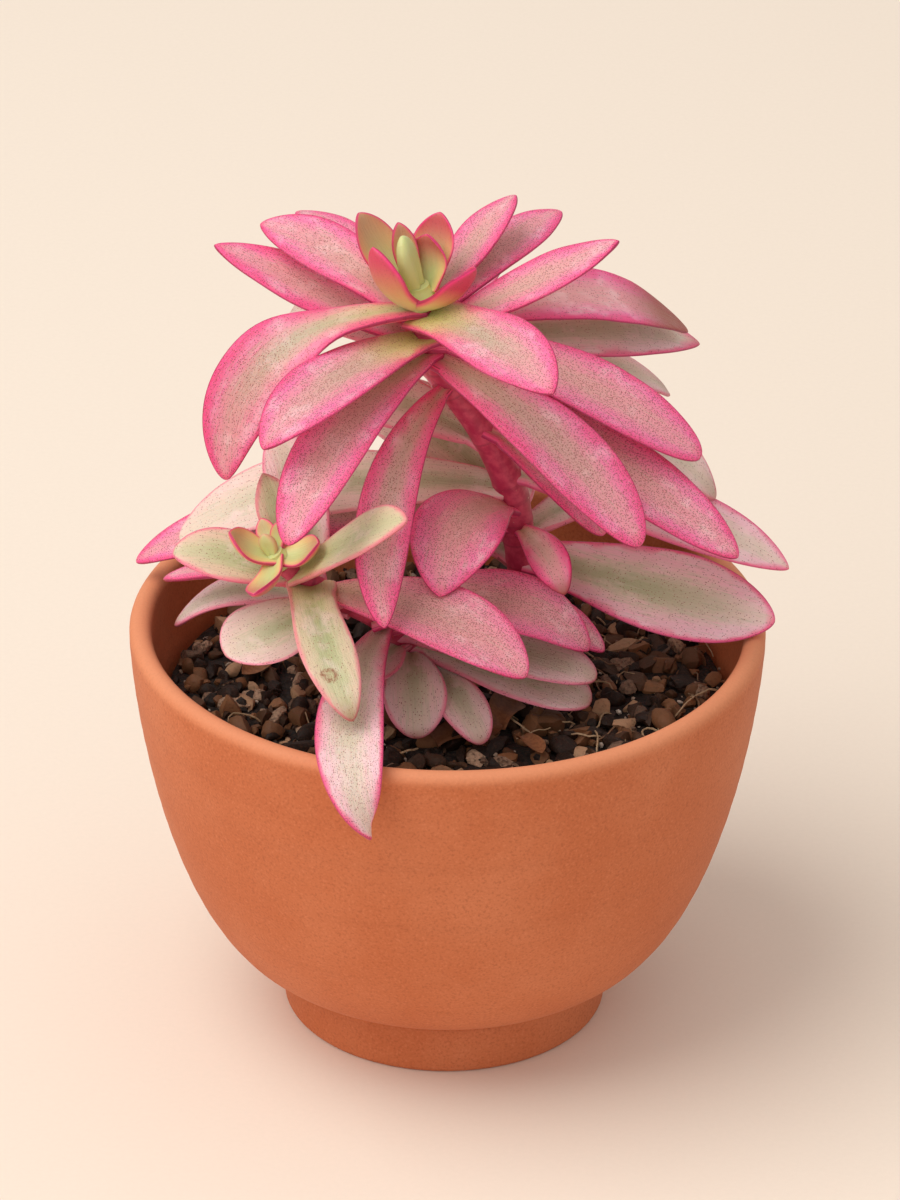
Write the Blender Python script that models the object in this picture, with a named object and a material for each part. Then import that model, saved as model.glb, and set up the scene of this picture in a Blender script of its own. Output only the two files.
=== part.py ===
"""A variegated crassula in a footed terracotta bowl, modelled at its real size.

The bowl stands on the plane z = 0 with its axis on the origin, +Z up, and -Y is the front. A leaning
main stem carries a crown of long leaves, and a short side branch carries a smaller rosette. Each large
leaf is a solid of its own, seated on its stem; the youngest leaves of each tip are fused into one bud.
Lengths are written in millimetres and turned into metres by MM.
"""

import math
import random
from collections import namedtuple

import bmesh
import bpy
from mathutils import Matrix, Vector

MM = 0.001

# The bowl
RIM_RADIUS = 60.0
RIM_LEVEL = 80.0
LIP_ROUND = 2.1
WALL = 4.2
FOOT_RADIUS = 31.0
FOOT_HEIGHT = 10.2
FOOT_CHAMFER = 0.8
NECK = 0.7
BOWL_START_RADIUS = 29.4
BOWL_START_LEVEL = 12.0
BOWL_FULLNESS = 1.457
BOWL_SHOULDER = 2.426
FLOOR_LEVEL = 9.5
FLOOR_RADIUS = 20.0
DRAIN_HOLES = 3
DRAIN_RADIUS = 4.0
DRAIN_CIRCLE = 16.0
POT_SEGMENTS = 64
BOWL_RINGS = 9
RING_CROWDING = 1.7
INNER_SHOULDER = 2.1
LIP_STEPS = 6
CUTTER_SIDES = 20
CUTTER_EXTRA = 2.0

# The soil
SEAT_GAP = 0.3
SOIL_LEVEL = 65.6
SOIL_MOUND = 1.2
SOIL_RELIEF = 0.75
SOIL_EDGE_ROUND = 2.0
LUMP_SPAN = 3.4
CRUMB_SPAN = 1.0
SOIL_SEGMENTS = 40
SOIL_RINGS = 8
GRAIN_TRIES = 66
GRAIN_SEED = 11
GRAIN_REACH = 50.0
GRAIN_SIZES = (1.3, 2.6)
GRAIN_SINK = 0.1
GRAIN_STRETCH = (0.75, 1.2)
GRAIN_BUMPS = (0.85, 1.1)
STEM_CLEARANCE = 6.5

# Leaves
LEAF_STATIONS = 8
STATION_SPACING = 1.55
LEAF_THICKNESS = 2.2
TIP_THINNING = 0.45
SEAT_REACH = 0.75
BASE_SHARE = 0.42
NEAR = 0.33
FAR = 0.70
CUP = 0.15
WIDEST_POWER = 1.6
WIDEST_PULL = 0.6
BLUNT = 0.5
PLAIN = 0.6
POINTED = 0.76
TWIST_FROM = 0.2
TWIST_TO = 0.65
SECTION = (-1.0, -0.5, 0.0, 0.5, 1.0)

STEM_SIDES = 10
SLOPE_STEP = 0.05
HALVINGS = 30
BUD_SIDES = 10
BUD_FOCUS = 10.0
BUD_CORE = ((0.0, 0.7), (0.35, 1.0), (1.0, 0.7))
YOUNG_STATIONS = 7
YOUNG_BASE = 0.6
YOUNG_ENDING = 0.62

# Each stem's line: x, y, z and radius, from the bottom of its hole in the soil to its tip
STEMS = {
    "main": (
        (16.0, 9.0, 52.0, 3.0),
        (16.0, 9.0, 68.0, 3.2),
        (15.0, 8.4, 82.0, 3.2),
        (13.2, 7.4, 96.0, 3.1),
        (11.4, 6.0, 107.0, 3.1),
        (6.8, 4.2, 118.5, 2.8),
        (-0.4, 1.6, 131.0, 2.5),
        (-3.9, 0.2, 140.0, 2.4),
        (-5.4, -0.4, 147.2, 2.2),
    ),
    "side": (
        (-3.0, 0.0, 52.0, 2.1),
        (-3.0, 0.0, 68.0, 2.2),
        (-6.0, -4.0, 77.0, 2.2),
        (-12.5, -10.5, 87.0, 2.1),
        (-21.5, -15.5, 95.0, 2.0),
        (-30.5, -19.5, 103.5, 1.9),
    ),
}

# A leaf: the stem it sits on and the level of its seat there, its tip, how far its midline bows above
# the straight line from seat to tip near each end, its width, how it rolls about that line, its share of
# the width at the seat, and the power of its outline. Twist turns its face on the way to the tip, sway
# bends it sideways, far is how far along the outer bow sits, and cup lifts its edges.
Leaf = namedtuple(
    "Leaf",
    "name stem level tip rise droop width roll base ending tone twist sway far cup",
    defaults=(BASE_SHARE, PLAIN, "pink", 0.0, 0.0, FAR, CUP),
)

LEAVES = (
    Leaf("crown_leaf_01", "main", 140.6, (-44.0, 14.0, 152.5), -1, 1, 11.5, -16, ending=POINTED),
    Leaf("crown_leaf_02", "main", 145.2, (-35.5, 18.0, 155.0), 3, 4, 12.5, -18, ending=0.7),
    Leaf("crown_leaf_03", "main", 143.4, (-29.5, 42.0, 146.0), 2, 5, 10.0, -5, ending=POINTED),
    Leaf("crown_leaf_04", "main", 135.8, (-30.0, 26.0, 133.0), 4, 5, 12.0, -25, 0.3, BLUNT, "cream"),
    Leaf("crown_leaf_05", "main", 147.2, (-41.0, -14.0, 118.0), 15, 18, 14.0, 0, twist=-58.0),
    Leaf("crown_leaf_06", "main", 141.6, (-33.5, -36.0, 135.8), 3.6, 5.6, 14.5, -7, 0.5, 0.66),
    Leaf("crown_leaf_07", "main", 138.6, (-29.0, -42.0, 119.5), 7, 8, 13.0, -10, ending=0.54, sway=1.0),
    Leaf("crown_leaf_08", "main", 131.0, (-11.5, -36.0, 99.3), 7.5, 4.6, 10.5, -15, 0.3, sway=5.0),
    Leaf("crown_leaf_09", "main", 146.0, (18.5, -36.0, 147.5), 3, 4.5, 14.0, 20, 0.7, 0.64),
    Leaf("crown_leaf_10", "main", 138.8, (46.5, -8.0, 120.5), 7, 3.5, 13.5, 24, 0.3, BLUNT),
    Leaf("crown_leaf_11", "main", 135.8, (35.0, -28.0, 112.5), 5, 6, 14.0, 22, ending=0.54),
    Leaf("crown_leaf_12", "main", 133.6, (53.5, -18.0, 105.0), 2, 3, 14.0, 26, 0.3),
    Leaf("crown_leaf_13", "main", 130.4, (50.0, 6.0, 104.5), 7, 9, 13.0, 30, 0.3, PLAIN, "cream"),
    Leaf("crown_leaf_14", "main", 143.0, (31.0, 8.0, 157.0), -2, 0, 10.6, 14, 0.3, POINTED),
    Leaf("crown_leaf_15", "main", 147.0, (12.0, 22.0, 159.5), -1, 2, 10.5, -8, 0.3, POINTED),
    Leaf("crown_leaf_16", "main", 144.7, (20.5, 30.0, 152.5), 1, 3, 11.0, 4, 0.3, 0.66),
    Leaf("crown_leaf_17", "main", 141.0, (45.0, 32.0, 126.5), 9, 9, 14.0, 24, 0.25, POINTED),
    Leaf("crown_leaf_18", "main", 136.4, (47.5, 36.0, 122.0), 3.5, 4.5, 13.0, 34, 0.3, POINTED, "cream"),
    Leaf("crown_leaf_19", "main", 129.0, (41.5, 30.0, 114.5), 5, 7, 13.0, 16, 0.3, BLUNT, "cream"),
    Leaf("crown_leaf_20", "main", 138.4, (-7.0, 49.0, 138.0), 4, 7, 12.0, 0, 0.3),
    Leaf("crown_leaf_21", "main", 134.0, (5.0, 52.0, 127.0), 7, 9, 13.0, 0),
    Leaf("crown_leaf_22", "main", 131.2, (-22.0, 44.0, 119.0), 8, 10, 13.0, 0, tone="cream"),
    Leaf("crown_leaf_23", "main", 127.6, (24.0, 48.0, 111.0), 6, 9, 13.0, 0, 0.3, PLAIN, "cream"),
    Leaf("trunk_leaf_01", "main", 118.5, (29.0, -4.0, 102.0), 3, 4, 12.0, 20, 0.3),
    Leaf("trunk_leaf_02", "main", 118.5, (-22.0, 14.0, 121.0), 3, 4, 12.0, -30, 0.3, PLAIN, "cream"),
    Leaf("trunk_leaf_03", "main", 104.6, (-18.0, 32.0, 113.5), 4, 4, 15.0, -30, tone="cream"),
    Leaf("trunk_leaf_04", "main", 104.6, (-1.5, -26.0, 100.5), 8, 8, 17.0, -12, 0.22, 0.66, sway=2.5),
    Leaf("trunk_leaf_05", "main", 98.6, (21.8, -13.0, 94.2), 2.5, 3.5, 7.5, 34),
    Leaf("trunk_leaf_06", "main", 90.4, (61.5, -5.0, 84.5), 0, -1, 18.0, 34, tone="cream"),
    Leaf("trunk_leaf_07", "main", 108.2, (64.0, 0.0, 93.0), 3, 4, 13.0, 30, 0.3, 0.7, "cream"),
    Leaf("trunk_leaf_08", "main", 108.0, (-51.0, 10.0, 92.5), 6, 10, 15.0, -30, tone="cream"),
    Leaf("trunk_leaf_09", "main", 99.0, (-59.5, 15.0, 85.0), 6, 10, 13.0, -25),
    Leaf("trunk_leaf_10", "main", 100.0, (12.0, 52.0, 88.0), 7, 8, 14.0, 0, tone="cream"),
    Leaf("trunk_leaf_11", "main", 95.0, (42.0, 38.0, 86.0), 5, 6, 14.0, 0, tone="cream"),
    Leaf("trunk_leaf_12", "main", 90.0, (-22.0, 46.0, 84.0), 6, 8, 14.0, 0, tone="cream"),
    Leaf("trunk_leaf_13", "main", 95.4, (-36.0, 36.0, 92.0), 4, 6, 14.0, 0, 0.3, PLAIN, "cream"),
    Leaf("branch_leaf_01", "side", 101.4, (-34.5, -8.0, 116.5), -1, 1, 8.0, -20, 0.3, POINTED, "green"),
    Leaf("branch_leaf_02", "side", 101.4, (-7.4, -39.0, 123.3), 0, 2, 10.5, 42, 0.6, PLAIN, "green"),
    Leaf("branch_leaf_03", "side", 100.0, (-51.0, -14.0, 102.8), 1, 3, 12.5, -20, 0.2, PLAIN, "green"),
    Leaf(
        "branch_leaf_04", "side", 99.0, (-17.0, -53.0, 89.5), 5, 6, 10.5, 0,
        0.9, PLAIN, "green", sway=2.5,
    ),
    Leaf("branch_leaf_05", "side", 95.0, (-41.0, -27.0, 88.5), 0, -1, 17.0, -10, 0.25, BLUNT, "cream"),
    Leaf("branch_leaf_06", "side", 98.4, (-53.5, 2.0, 88.5), 3, 3, 7.0, -10),
    Leaf("branch_leaf_07", "side", 92.6, (-51.5, 2.0, 78.5), 7, 7, 9.0, -20, tone="cream"),
    Leaf("branch_leaf_08", "side", 97.6, (-32.5, 5.0, 119.0), 3, 3, 11.0, -20, 0.3, PLAIN, "cream"),
    Leaf("branch_leaf_09", "side", 96.4, (14.5, -38.0, 90.5), 5, 7, 16.0, 15, 0.3),
    Leaf("branch_leaf_10", "side", 82.0, (-19.0, -26.0, 82.0), 0, 0, 12.0, 0, 0.3, PLAIN, "cream"),
    Leaf("branch_leaf_11", "side", 88.0, (26.5, -14.0, 83.0), 8, 10, 15.0, 20),
    Leaf("branch_leaf_12", "side", 85.2, (29.5, -9.0, 80.0), 6, 9, 13.0, 15),
    Leaf("branch_leaf_13", "side", 82.0, (28.0, -14.0, 77.0), 2, 2, 12.5, 18, 0.3, BLUNT, "cream"),
    Leaf("branch_leaf_14", "side", 78.4, (27.0, -14.0, 71.5), 1, 2, 13.0, 22, 0.3, BLUNT, "cream"),
    Leaf("branch_leaf_15", "side", 79.4, (-5.5, -26.0, 70.5), 4, 4, 12.0, 0, 0.3, BLUNT, "cream"),
    Leaf("branch_leaf_16", "side", 75.6, (6.5, -27.5, 70.2), 3, 3, 10.0, 0, 0.3, BLUNT, "cream"),
    Leaf(
        "branch_leaf_17", "side", 87.0, (-13.5, -65.5, 72.0), 5, 21, 12.5, 0,
        0.3, 0.66, "cream", sway=6.0, far=1.03,
    ),
)

# The buds, each a short core with its youngest leaves fused to it: the core's foot, the way it grows, its
# radius and its height; for each leaf its root inside the core, its tip, its bow, width, cup and thickness.
# A bud's core is drawn by BUD_CORE, pairs of a share of its height and a share of its radius.
Young = namedtuple(
    "Young",
    "root tip bow width cup thickness base twist ending",
    defaults=(0.35, 1.9, YOUNG_BASE, 0.0, YOUNG_ENDING),
)

BUDS = {
    "crown_bud": (
        (-5.5, -0.4, 147.5), (-0.16, -0.08, 1.0), 3.2, 4.5,
        (
            Young((-6.4, 0.8, 149.4), (-17.1, 6.0, 163.2), -3.0, 9.0),
            Young((-7.4, -2.2, 148.4), (-14.1, -5.0, 161.5), -3.2, 10.5, 0.5),
            Young((-4.6, 0.4, 149.6), (-4.6, 3.5, 160.2), -2.2, 10.5, 0.5),
            Young((-5.0, 1.0, 149.8), (-2.1, 8.0, 162.6), -2.0, 9.0),
            Young((-5.6, -2.4, 148.4), (4.4, -7.0, 158.5), -3.0, 8.5, 0.6),
            Young((-6.6, 0.8, 150.6), (-9.8, 4.0, 162.3), -1.0, 5.0),
            Young((-6.6, -0.6, 150.4), (-9.0, -1.0, 161.9), 0.0, 6.0, 0.0, 4.4),
        ),
    ),
    "branch_bud": (
        (-30.8, -19.8, 103.9), (-0.45, -0.25, 0.9), 2.6, 3.4,
        (
            Young((-31.4, -20.6, 105.2), (-40.2, -22.0, 111.6), -2.0, 8.0),
            Young((-31.0, -20.8, 105.4), (-23.7, -24.5, 110.9), -2.0, 7.5),
            Young((-31.6, -21.0, 105.2), (-35.3, -36.0, 106.2), -2.0, 6.5, 0.5),
            Young((-31.8, -19.6, 105.4), (-34.6, -14.6, 110.6), -0.6, 4.0),
            Young((-31.2, -19.8, 105.8), (-31.4, -17.4, 111.4), -0.6, 3.6),
            Young((-32.0, -20.4, 105.8), (-34.0, -20.8, 110.6), 0.0, 3.4, 0.0, 2.6),
        ),
    ),
    "back_bud": (
        (9.6, 9.6, 113.5), (0.1, 0.6, 0.8), 1.8, 3.0,
        (
            Young((9.5, 11.3, 115.0), (5.6, 15.0, 122.4), -1.5, 5.5),
            Young((10.2, 11.7, 115.5), (11.4, 16.4, 123.6), -1.5, 5.5),
            Young((10.1, 10.9, 114.6), (17.0, 14.5, 117.0), -1.5, 5.5),
        ),
    ),
}

TONES = {
    "pink": ((0.80, 0.33, 0.42), 0.42),
    "cream": ((0.78, 0.62, 0.50), 0.42),
    "green": ((0.60, 0.62, 0.32), 0.42),
    "stem": ((0.66, 0.20, 0.26), 0.50),
    "terracotta": ((0.55, 0.20, 0.09), 0.85),
    "soil": ((0.045, 0.030, 0.022), 0.95),
}


def clear_scene():
    for obj in list(bpy.data.objects):
        bpy.data.objects.remove(obj)


def material(tone):
    found = bpy.data.materials.get(tone)
    if found:
        return found
    colour, roughness = TONES[tone]
    made = bpy.data.materials.new(tone)
    made.use_nodes = True
    shader = made.node_tree.nodes["Principled BSDF"]
    shader.inputs["Base Color"].default_value = (*colour, 1.0)
    shader.inputs["Roughness"].default_value = roughness
    shader.inputs["Metallic"].default_value = 0.0
    return made


def add_object(name, bm, tone, sharp_degrees=40.0):
    """One named object from a bmesh whose coordinates are in millimetres."""
    bmesh.ops.scale(bm, vec=Vector((MM, MM, MM)), verts=bm.verts)
    bmesh.ops.recalc_face_normals(bm, faces=bm.faces)
    mesh = bpy.data.meshes.new(name)
    bm.to_mesh(mesh)
    bm.free()
    mesh.shade_smooth()
    mesh.set_sharp_from_angle(angle=math.radians(sharp_degrees))
    mesh.materials.append(material(tone))
    obj = bpy.data.objects.new(name, mesh)
    bpy.context.scene.collection.objects.link(obj)
    return obj


def round_ring(radius, level, count, centre=(0.0, 0.0)):
    """A level ring of points round an upright axis."""
    x, y = centre
    turns = [math.tau * i / count for i in range(count)]
    return [(x + radius * math.cos(turn), y + radius * math.sin(turn), level) for turn in turns]


def skin_rings(bm, rings, close_end=True):
    """Joins rings of points, each a loop of the same length, into a tube with a face over its start."""
    loops = [[bm.verts.new(point) for point in ring] for ring in rings]
    count = len(loops[0])
    for low, high in zip(loops, loops[1:]):
        for i in range(count):
            j = (i + 1) % count
            bm.faces.new((low[i], low[j], high[j], high[i]))
    bm.faces.new(list(reversed(loops[0])))
    if close_end:
        bm.faces.new(loops[-1])
    return loops


# The bowl

def bowl_swell(share, shoulder):
    """How far the wall has swelled out, from 0 to 1, at a share of its height."""
    return (1.0 - (1.0 - min(share, 1.0)) ** BOWL_FULLNESS) ** (1.0 / shoulder)


def bowl_radius(level):
    """Outer radius of the bowl's wall at a level between the top of the foot and the rim."""
    share = (level - BOWL_START_LEVEL) / (RIM_LEVEL - BOWL_START_LEVEL)
    return BOWL_START_RADIUS + (RIM_RADIUS - BOWL_START_RADIUS) * bowl_swell(share, BOWL_SHOULDER)


def wall_levels():
    """Levels up the wall, closer together near the foot, where the wall turns fastest."""
    height = RIM_LEVEL - BOWL_START_LEVEL
    return [BOWL_START_LEVEL + height * (i / BOWL_RINGS) ** RING_CROWDING for i in range(1, BOWL_RINGS + 1)]


def inner_radius(level):
    """Inner radius of the bowl: the outer curve moved in by the wall, down to the flat floor."""
    share = (level - FLOOR_LEVEL) / (RIM_LEVEL - FLOOR_LEVEL)
    return FLOOR_RADIUS + (RIM_RADIUS - WALL - FLOOR_RADIUS) * bowl_swell(share, INNER_SHOULDER)


def pot_profile():
    """Outline of the bowl as (radius, level): out and up from the foot, over the lip and down inside."""
    outline = [
        (FOOT_RADIUS - FOOT_CHAMFER, 0.0),
        (FOOT_RADIUS, FOOT_CHAMFER),
        (FOOT_RADIUS, FOOT_HEIGHT - FOOT_CHAMFER),
        (FOOT_RADIUS - FOOT_CHAMFER, FOOT_HEIGHT),
        (BOWL_START_RADIUS, BOWL_START_LEVEL - NECK),
        (BOWL_START_RADIUS + 1.0, BOWL_START_LEVEL + 0.1),
    ]
    outline += [(bowl_radius(level), level) for level in wall_levels()]
    for step in range(1, LIP_STEPS):
        turn = math.pi * step / LIP_STEPS
        outline.append(
            (RIM_RADIUS - LIP_ROUND + LIP_ROUND * math.cos(turn), RIM_LEVEL + LIP_ROUND * math.sin(turn))
        )
    return outline + list(reversed(inner_wall()))


def inner_wall():
    """The inside of the bowl as (radius, level), from the floor up to the lip."""
    height = RIM_LEVEL - FLOOR_LEVEL
    levels = [FLOOR_LEVEL + height * (i / (BOWL_RINGS - 1)) ** RING_CROWDING for i in range(BOWL_RINGS)]
    return [(inner_radius(level), level) for level in levels]


def add_pot():
    bm = bmesh.new()
    skin_rings(bm, [round_ring(radius, level, POT_SEGMENTS) for radius, level in pot_profile()])
    pot = add_object("pot", bm, "terracotta")
    low, high = -CUTTER_EXTRA, FLOOR_LEVEL + CUTTER_EXTRA
    for i, (x, y) in enumerate(drain_centres()):
        cut(pot, round_cutter(f"drain_cutter_{i + 1}", x, y, low, high, DRAIN_RADIUS))


def drain_centres():
    turns = [math.tau * (i + 0.25) / DRAIN_HOLES for i in range(DRAIN_HOLES)]
    return [(DRAIN_CIRCLE * math.cos(turn), DRAIN_CIRCLE * math.sin(turn)) for turn in turns]


def round_cutter(name, x, y, low, high, radius):
    """An upright round cutter, hidden from the render."""
    bm = bmesh.new()
    skin_rings(bm, [round_ring(radius, level, CUTTER_SIDES, (x, y)) for level in (low, high)])
    cutter = add_object(name, bm, "soil")
    cutter.hide_render = True
    cutter.display_type = "WIRE"
    return cutter


def cut(obj, cutter):
    boolean = obj.modifiers.new(cutter.name, "BOOLEAN")
    boolean.operation = "DIFFERENCE"
    boolean.solver = "EXACT"
    boolean.object = cutter


# The soil

def soil_top(x, y):
    """Level of the soil's surface: a low mound with lumps and crumbs raised on it."""
    radius = math.hypot(x, y)
    mound = SOIL_MOUND * (1.0 - (radius / RIM_RADIUS) ** 2)
    lumps = math.sin(x / LUMP_SPAN + 0.9) * math.sin(y / LUMP_SPAN - 0.4)
    crumbs = math.sin((x - 0.6 * y) / CRUMB_SPAN) * math.sin((0.7 * x + y) / CRUMB_SPAN + 1.3)
    return SOIL_LEVEL + mound + SOIL_RELIEF * (0.5 * lumps + 0.5 * crumbs)


def add_grain(chance, bunch, name):
    """One pumice or bark grain, half sunk in the soil, left out where a stem stands."""
    reach = GRAIN_REACH * math.sqrt(chance.random())
    turn = math.tau * chance.random()
    size = chance.uniform(*GRAIN_SIZES)
    stretch = [chance.uniform(*GRAIN_STRETCH) for _ in range(3)]
    spin = Matrix.Rotation(math.tau * chance.random(), 3, "Z") @ Matrix.Rotation(chance.random(), 3, "X")
    x, y = reach * math.cos(turn), reach * math.sin(turn)
    if any(math.hypot(x - line[0][0], y - line[0][1]) < STEM_CLEARANCE for line in STEMS.values()):
        return
    bm = bmesh.new()
    bmesh.ops.create_icosphere(bm, subdivisions=1, radius=size)
    centre = Vector((x, y, soil_top(x, y) + GRAIN_SINK * size))
    for vert in bm.verts:
        bumped = Vector([c * s for c, s in zip(vert.co, stretch)]) * chance.uniform(*GRAIN_BUMPS)
        vert.co = centre + spin @ bumped
    move_to(bunch, add_object(name, bm, "soil"))


def add_soil():
    """The soil follows the bowl's inside wall with a small gap, and has its grains fused to its surface."""
    bm = bmesh.new()
    wall = [(radius, level) for radius, level in inner_wall() if level < SOIL_LEVEL - SOIL_EDGE_ROUND]
    rings = [round_ring(radius - 2 * SEAT_GAP, level + SEAT_GAP, SOIL_SEGMENTS) for radius, level in wall]
    edge = inner_radius(SOIL_LEVEL - SOIL_EDGE_ROUND) - 2 * SEAT_GAP
    rings.append(round_ring(edge, SOIL_LEVEL - SOIL_RELIEF, SOIL_SEGMENTS))
    for ring in range(SOIL_RINGS):
        flat = round_ring(edge * (1.0 - (ring + 0.4) / (SOIL_RINGS + 0.4)), 0.0, SOIL_SEGMENTS)
        rings.append([(x, y, soil_top(x, y)) for x, y, _ in flat])
    skin_rings(bm, rings)
    soil = add_object("soil", bm, "soil")
    grains = bpy.data.collections.new("grains")
    chance = random.Random(GRAIN_SEED)
    for i in range(GRAIN_TRIES):
        add_grain(chance, grains, f"grain_{i + 1}")
    join(soil, grains)
    for name, line in STEMS.items():
        x, y, foot, _ = line[0]
        low, high = foot - SEAT_GAP, line[1][2] + CUTTER_EXTRA
        cut(soil, round_cutter(f"{name}_stem_hole", x, y, low, high, line[1][3] + SEAT_GAP))


# Stems

def smooth_line(points, share):
    """A point on the smooth curve through the points, with share running from 0 to their last index."""
    last = len(points) - 1
    i = min(int(share), last - 1)
    t = share - i
    before, start, end, after = (points[max(0, min(last, k))] for k in (i - 1, i, i + 1, i + 2))
    return tuple(
        0.5 * (2 * b + (c - a) * t + (2 * a - 5 * b + 4 * c - d) * t * t + (3 * b - a - 3 * c + d) * t ** 3)
        for a, b, c, d in zip(before, start, end, after)
    )


def stem_point(name, share):
    """Centre, direction and radius of a stem at a share of its line."""
    line = STEMS[name]
    x, y, z, radius = smooth_line(line, share)
    ahead = Vector(smooth_line(line, min(share + SLOPE_STEP, len(line) - 1))[:3])
    behind = Vector(smooth_line(line, max(share - SLOPE_STEP, 0))[:3])
    return Vector((x, y, z)), (ahead - behind).normalized(), radius


def stem_at(name, level):
    """Centre, direction and radius of a stem at a level."""
    line = STEMS[name]
    low, high = 0.0, len(line) - 1.0
    for _ in range(HALVINGS):
        middle = (low + high) / 2
        if smooth_line(line, middle)[2] < level:
            low = middle
        else:
            high = middle
    return stem_point(name, low)


def tilted_ring(centre, side, across, radius, count):
    """A ring of points round a centre, in the plane of two directions at right angles."""
    turns = [math.tau * i / count for i in range(count)]
    return [centre + radius * (math.cos(turn) * side + math.sin(turn) * across) for turn in turns]


def add_stem(name):
    bm = bmesh.new()
    rings = []
    side = Vector((1.0, 0.0, 0.0))
    for step in range(2 * len(STEMS[name]) - 1):
        centre, along, radius = stem_point(name, step / 2)
        side = (side - side.dot(along) * along).normalized()
        rings.append(tilted_ring(centre, side, along.cross(side), radius, STEM_SIDES))
    skin_rings(bm, rings)
    add_object(f"{name}_stem", bm, "stem")


# Leaves

def leaf_seat(leaf):
    """Where the leaf's base sits: on the side of the stem that faces the leaf's tip."""
    centre, along, radius = stem_at(leaf.stem, leaf.level)
    towards = Vector(leaf.tip) - centre
    out = (towards - towards.dot(along) * along).normalized()
    return centre + out * (radius + SEAT_REACH)


def leaf_line(seat, leaf):
    """Control points of the leaf's midline and the normal of its upper face."""
    tip = Vector(leaf.tip)
    chord = (tip - seat).normalized()
    up = Vector((0.0, 0.0, 1.0))
    up = (up - up.dot(chord) * chord).normalized()
    side = chord.cross(up)
    near = seat.lerp(tip, NEAR) + leaf.rise * up + leaf.sway * side
    far = seat.lerp(tip, leaf.far) + leaf.droop * up + leaf.sway * side
    turned = Matrix.Rotation(math.radians(leaf.roll), 3, chord) @ up
    return (seat, near, far, tip), turned


def bezier(points, u):
    a, b, c, d = points
    w = 1.0 - u
    place = w ** 3 * a + 3 * w * w * u * b + 3 * w * u * u * c + u ** 3 * d
    slope = 3 * w * w * (b - a) + 6 * w * u * (c - b) + 3 * u * u * (d - c)
    return place, slope.normalized()


def leaf_breadth(u, base, ending):
    """The leaf's outline: its share of the full width at u, from the seat at 0 to the tip at 1.

    A leaf with a pointed ending is widest near its middle, and a blunt one is widest further out.
    """
    blade = math.sin(math.pi * u ** (WIDEST_POWER - WIDEST_PULL * ending)) ** ending
    root = base * (1.0 - u) ** 2
    return root + (1.0 - root) * blade


def twisted(u):
    """How much of a leaf's twist is done at u, all of it between TWIST_FROM and TWIST_TO."""
    share = max(0.0, min(1.0, (u - TWIST_FROM) / (TWIST_TO - TWIST_FROM)))
    return share * share * (3.0 - 2.0 * share)


def leaf_rings(points, normal, shape, thickness, stations):
    """Rings of points round the blade, whose upper face turns by the shape's twist from seat to tip."""
    rings = []
    for station in range(stations):
        u = 1.0 - (1.0 - station / stations) ** STATION_SPACING
        place, along = bezier(points, u)
        up = (normal - normal.dot(along) * along).normalized()
        up = Matrix.Rotation(math.radians(shape.twist * twisted(u)), 3, along) @ up
        side = along.cross(up)
        half = 0.5 * shape.width * leaf_breadth(u, shape.base, shape.ending)
        thick = thickness * (1.0 - TIP_THINNING * u)
        face = [(v, 0.5 * thick * math.sqrt(1.0 - v * v)) for v in SECTION]
        back = [(v, -lift) for v, lift in reversed(face[1:-1])]
        rings.append([
            place + side * (half * v) + up * (shape.cup * half * v * v + lift)
            for v, lift in face + back
        ])
    return rings


def leaf_shape(points, normal, shape, thickness=LEAF_THICKNESS, stations=LEAF_STATIONS):
    """A closed fleshy blade that ends in a point."""
    bm = bmesh.new()
    rings = leaf_rings(points, normal, shape, thickness, stations)
    loops = skin_rings(bm, rings, close_end=False)
    tip = bm.verts.new(points[-1])
    for i in range(len(loops[-1])):
        bm.faces.new((loops[-1][i], loops[-1][(i + 1) % len(loops[-1])], tip))
    return bm


def add_leaf(leaf):
    points, normal = leaf_line(leaf_seat(leaf), leaf)
    bm = leaf_shape(points, normal, leaf)
    add_object(leaf.name, bm, leaf.tone)


def add_bud(name):
    """The bud at a tip: its core and its youngest leaves, joined as one body."""
    foot, axis, radius, height, young = BUDS[name]
    foot, axis = Vector(foot), Vector(axis).normalized()
    side = axis.orthogonal().normalized()
    bm = bmesh.new()
    skin_rings(bm, [
        tilted_ring(foot + rise * height * axis, side, axis.cross(side), wide * radius, BUD_SIDES)
        for rise, wide in BUD_CORE
    ])
    bud = add_object(name, bm, "green")
    bunch = bpy.data.collections.new(f"{name}_leaves")
    for i, leaf in enumerate(young):
        points, normal = young_line(leaf, foot, axis)
        blade = leaf_shape(points, normal, leaf, leaf.thickness, YOUNG_STATIONS)
        move_to(bunch, add_object(f"{name}_leaf_{i + 1}", blade, "green"))
    join(bud, bunch)


def young_line(leaf, foot, axis):
    """Control points of a young leaf's midline, bowed away from the bud's axis, and its inward normal."""
    root, tip = Vector(leaf.root), Vector(leaf.tip)
    chord = (tip - root).normalized()
    inward = foot + axis * BUD_FOCUS - root.lerp(tip, 0.5)
    inward = (inward - inward.dot(chord) * chord).normalized()
    near = root.lerp(tip, NEAR) + leaf.bow * inward
    far = root.lerp(tip, FAR) + leaf.bow * inward
    return (root, near, far, tip), inward


def move_to(bunch, piece):
    bpy.context.scene.collection.objects.unlink(piece)
    bunch.objects.link(piece)


def join(obj, bunch):
    """Fuses a collection's objects into obj and removes them."""
    boolean = obj.modifiers.new("fuse", "BOOLEAN")
    boolean.operation = "UNION"
    boolean.solver = "EXACT"
    boolean.operand_type = "COLLECTION"
    boolean.collection = bunch
    bpy.context.view_layer.update()
    graph = bpy.context.evaluated_depsgraph_get()
    fused = bpy.data.meshes.new_from_object(obj.evaluated_get(graph))
    obj.modifiers.clear()
    obj.data = fused
    for piece in list(bunch.objects):
        bpy.data.objects.remove(piece)
    bpy.data.collections.remove(bunch)


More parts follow.
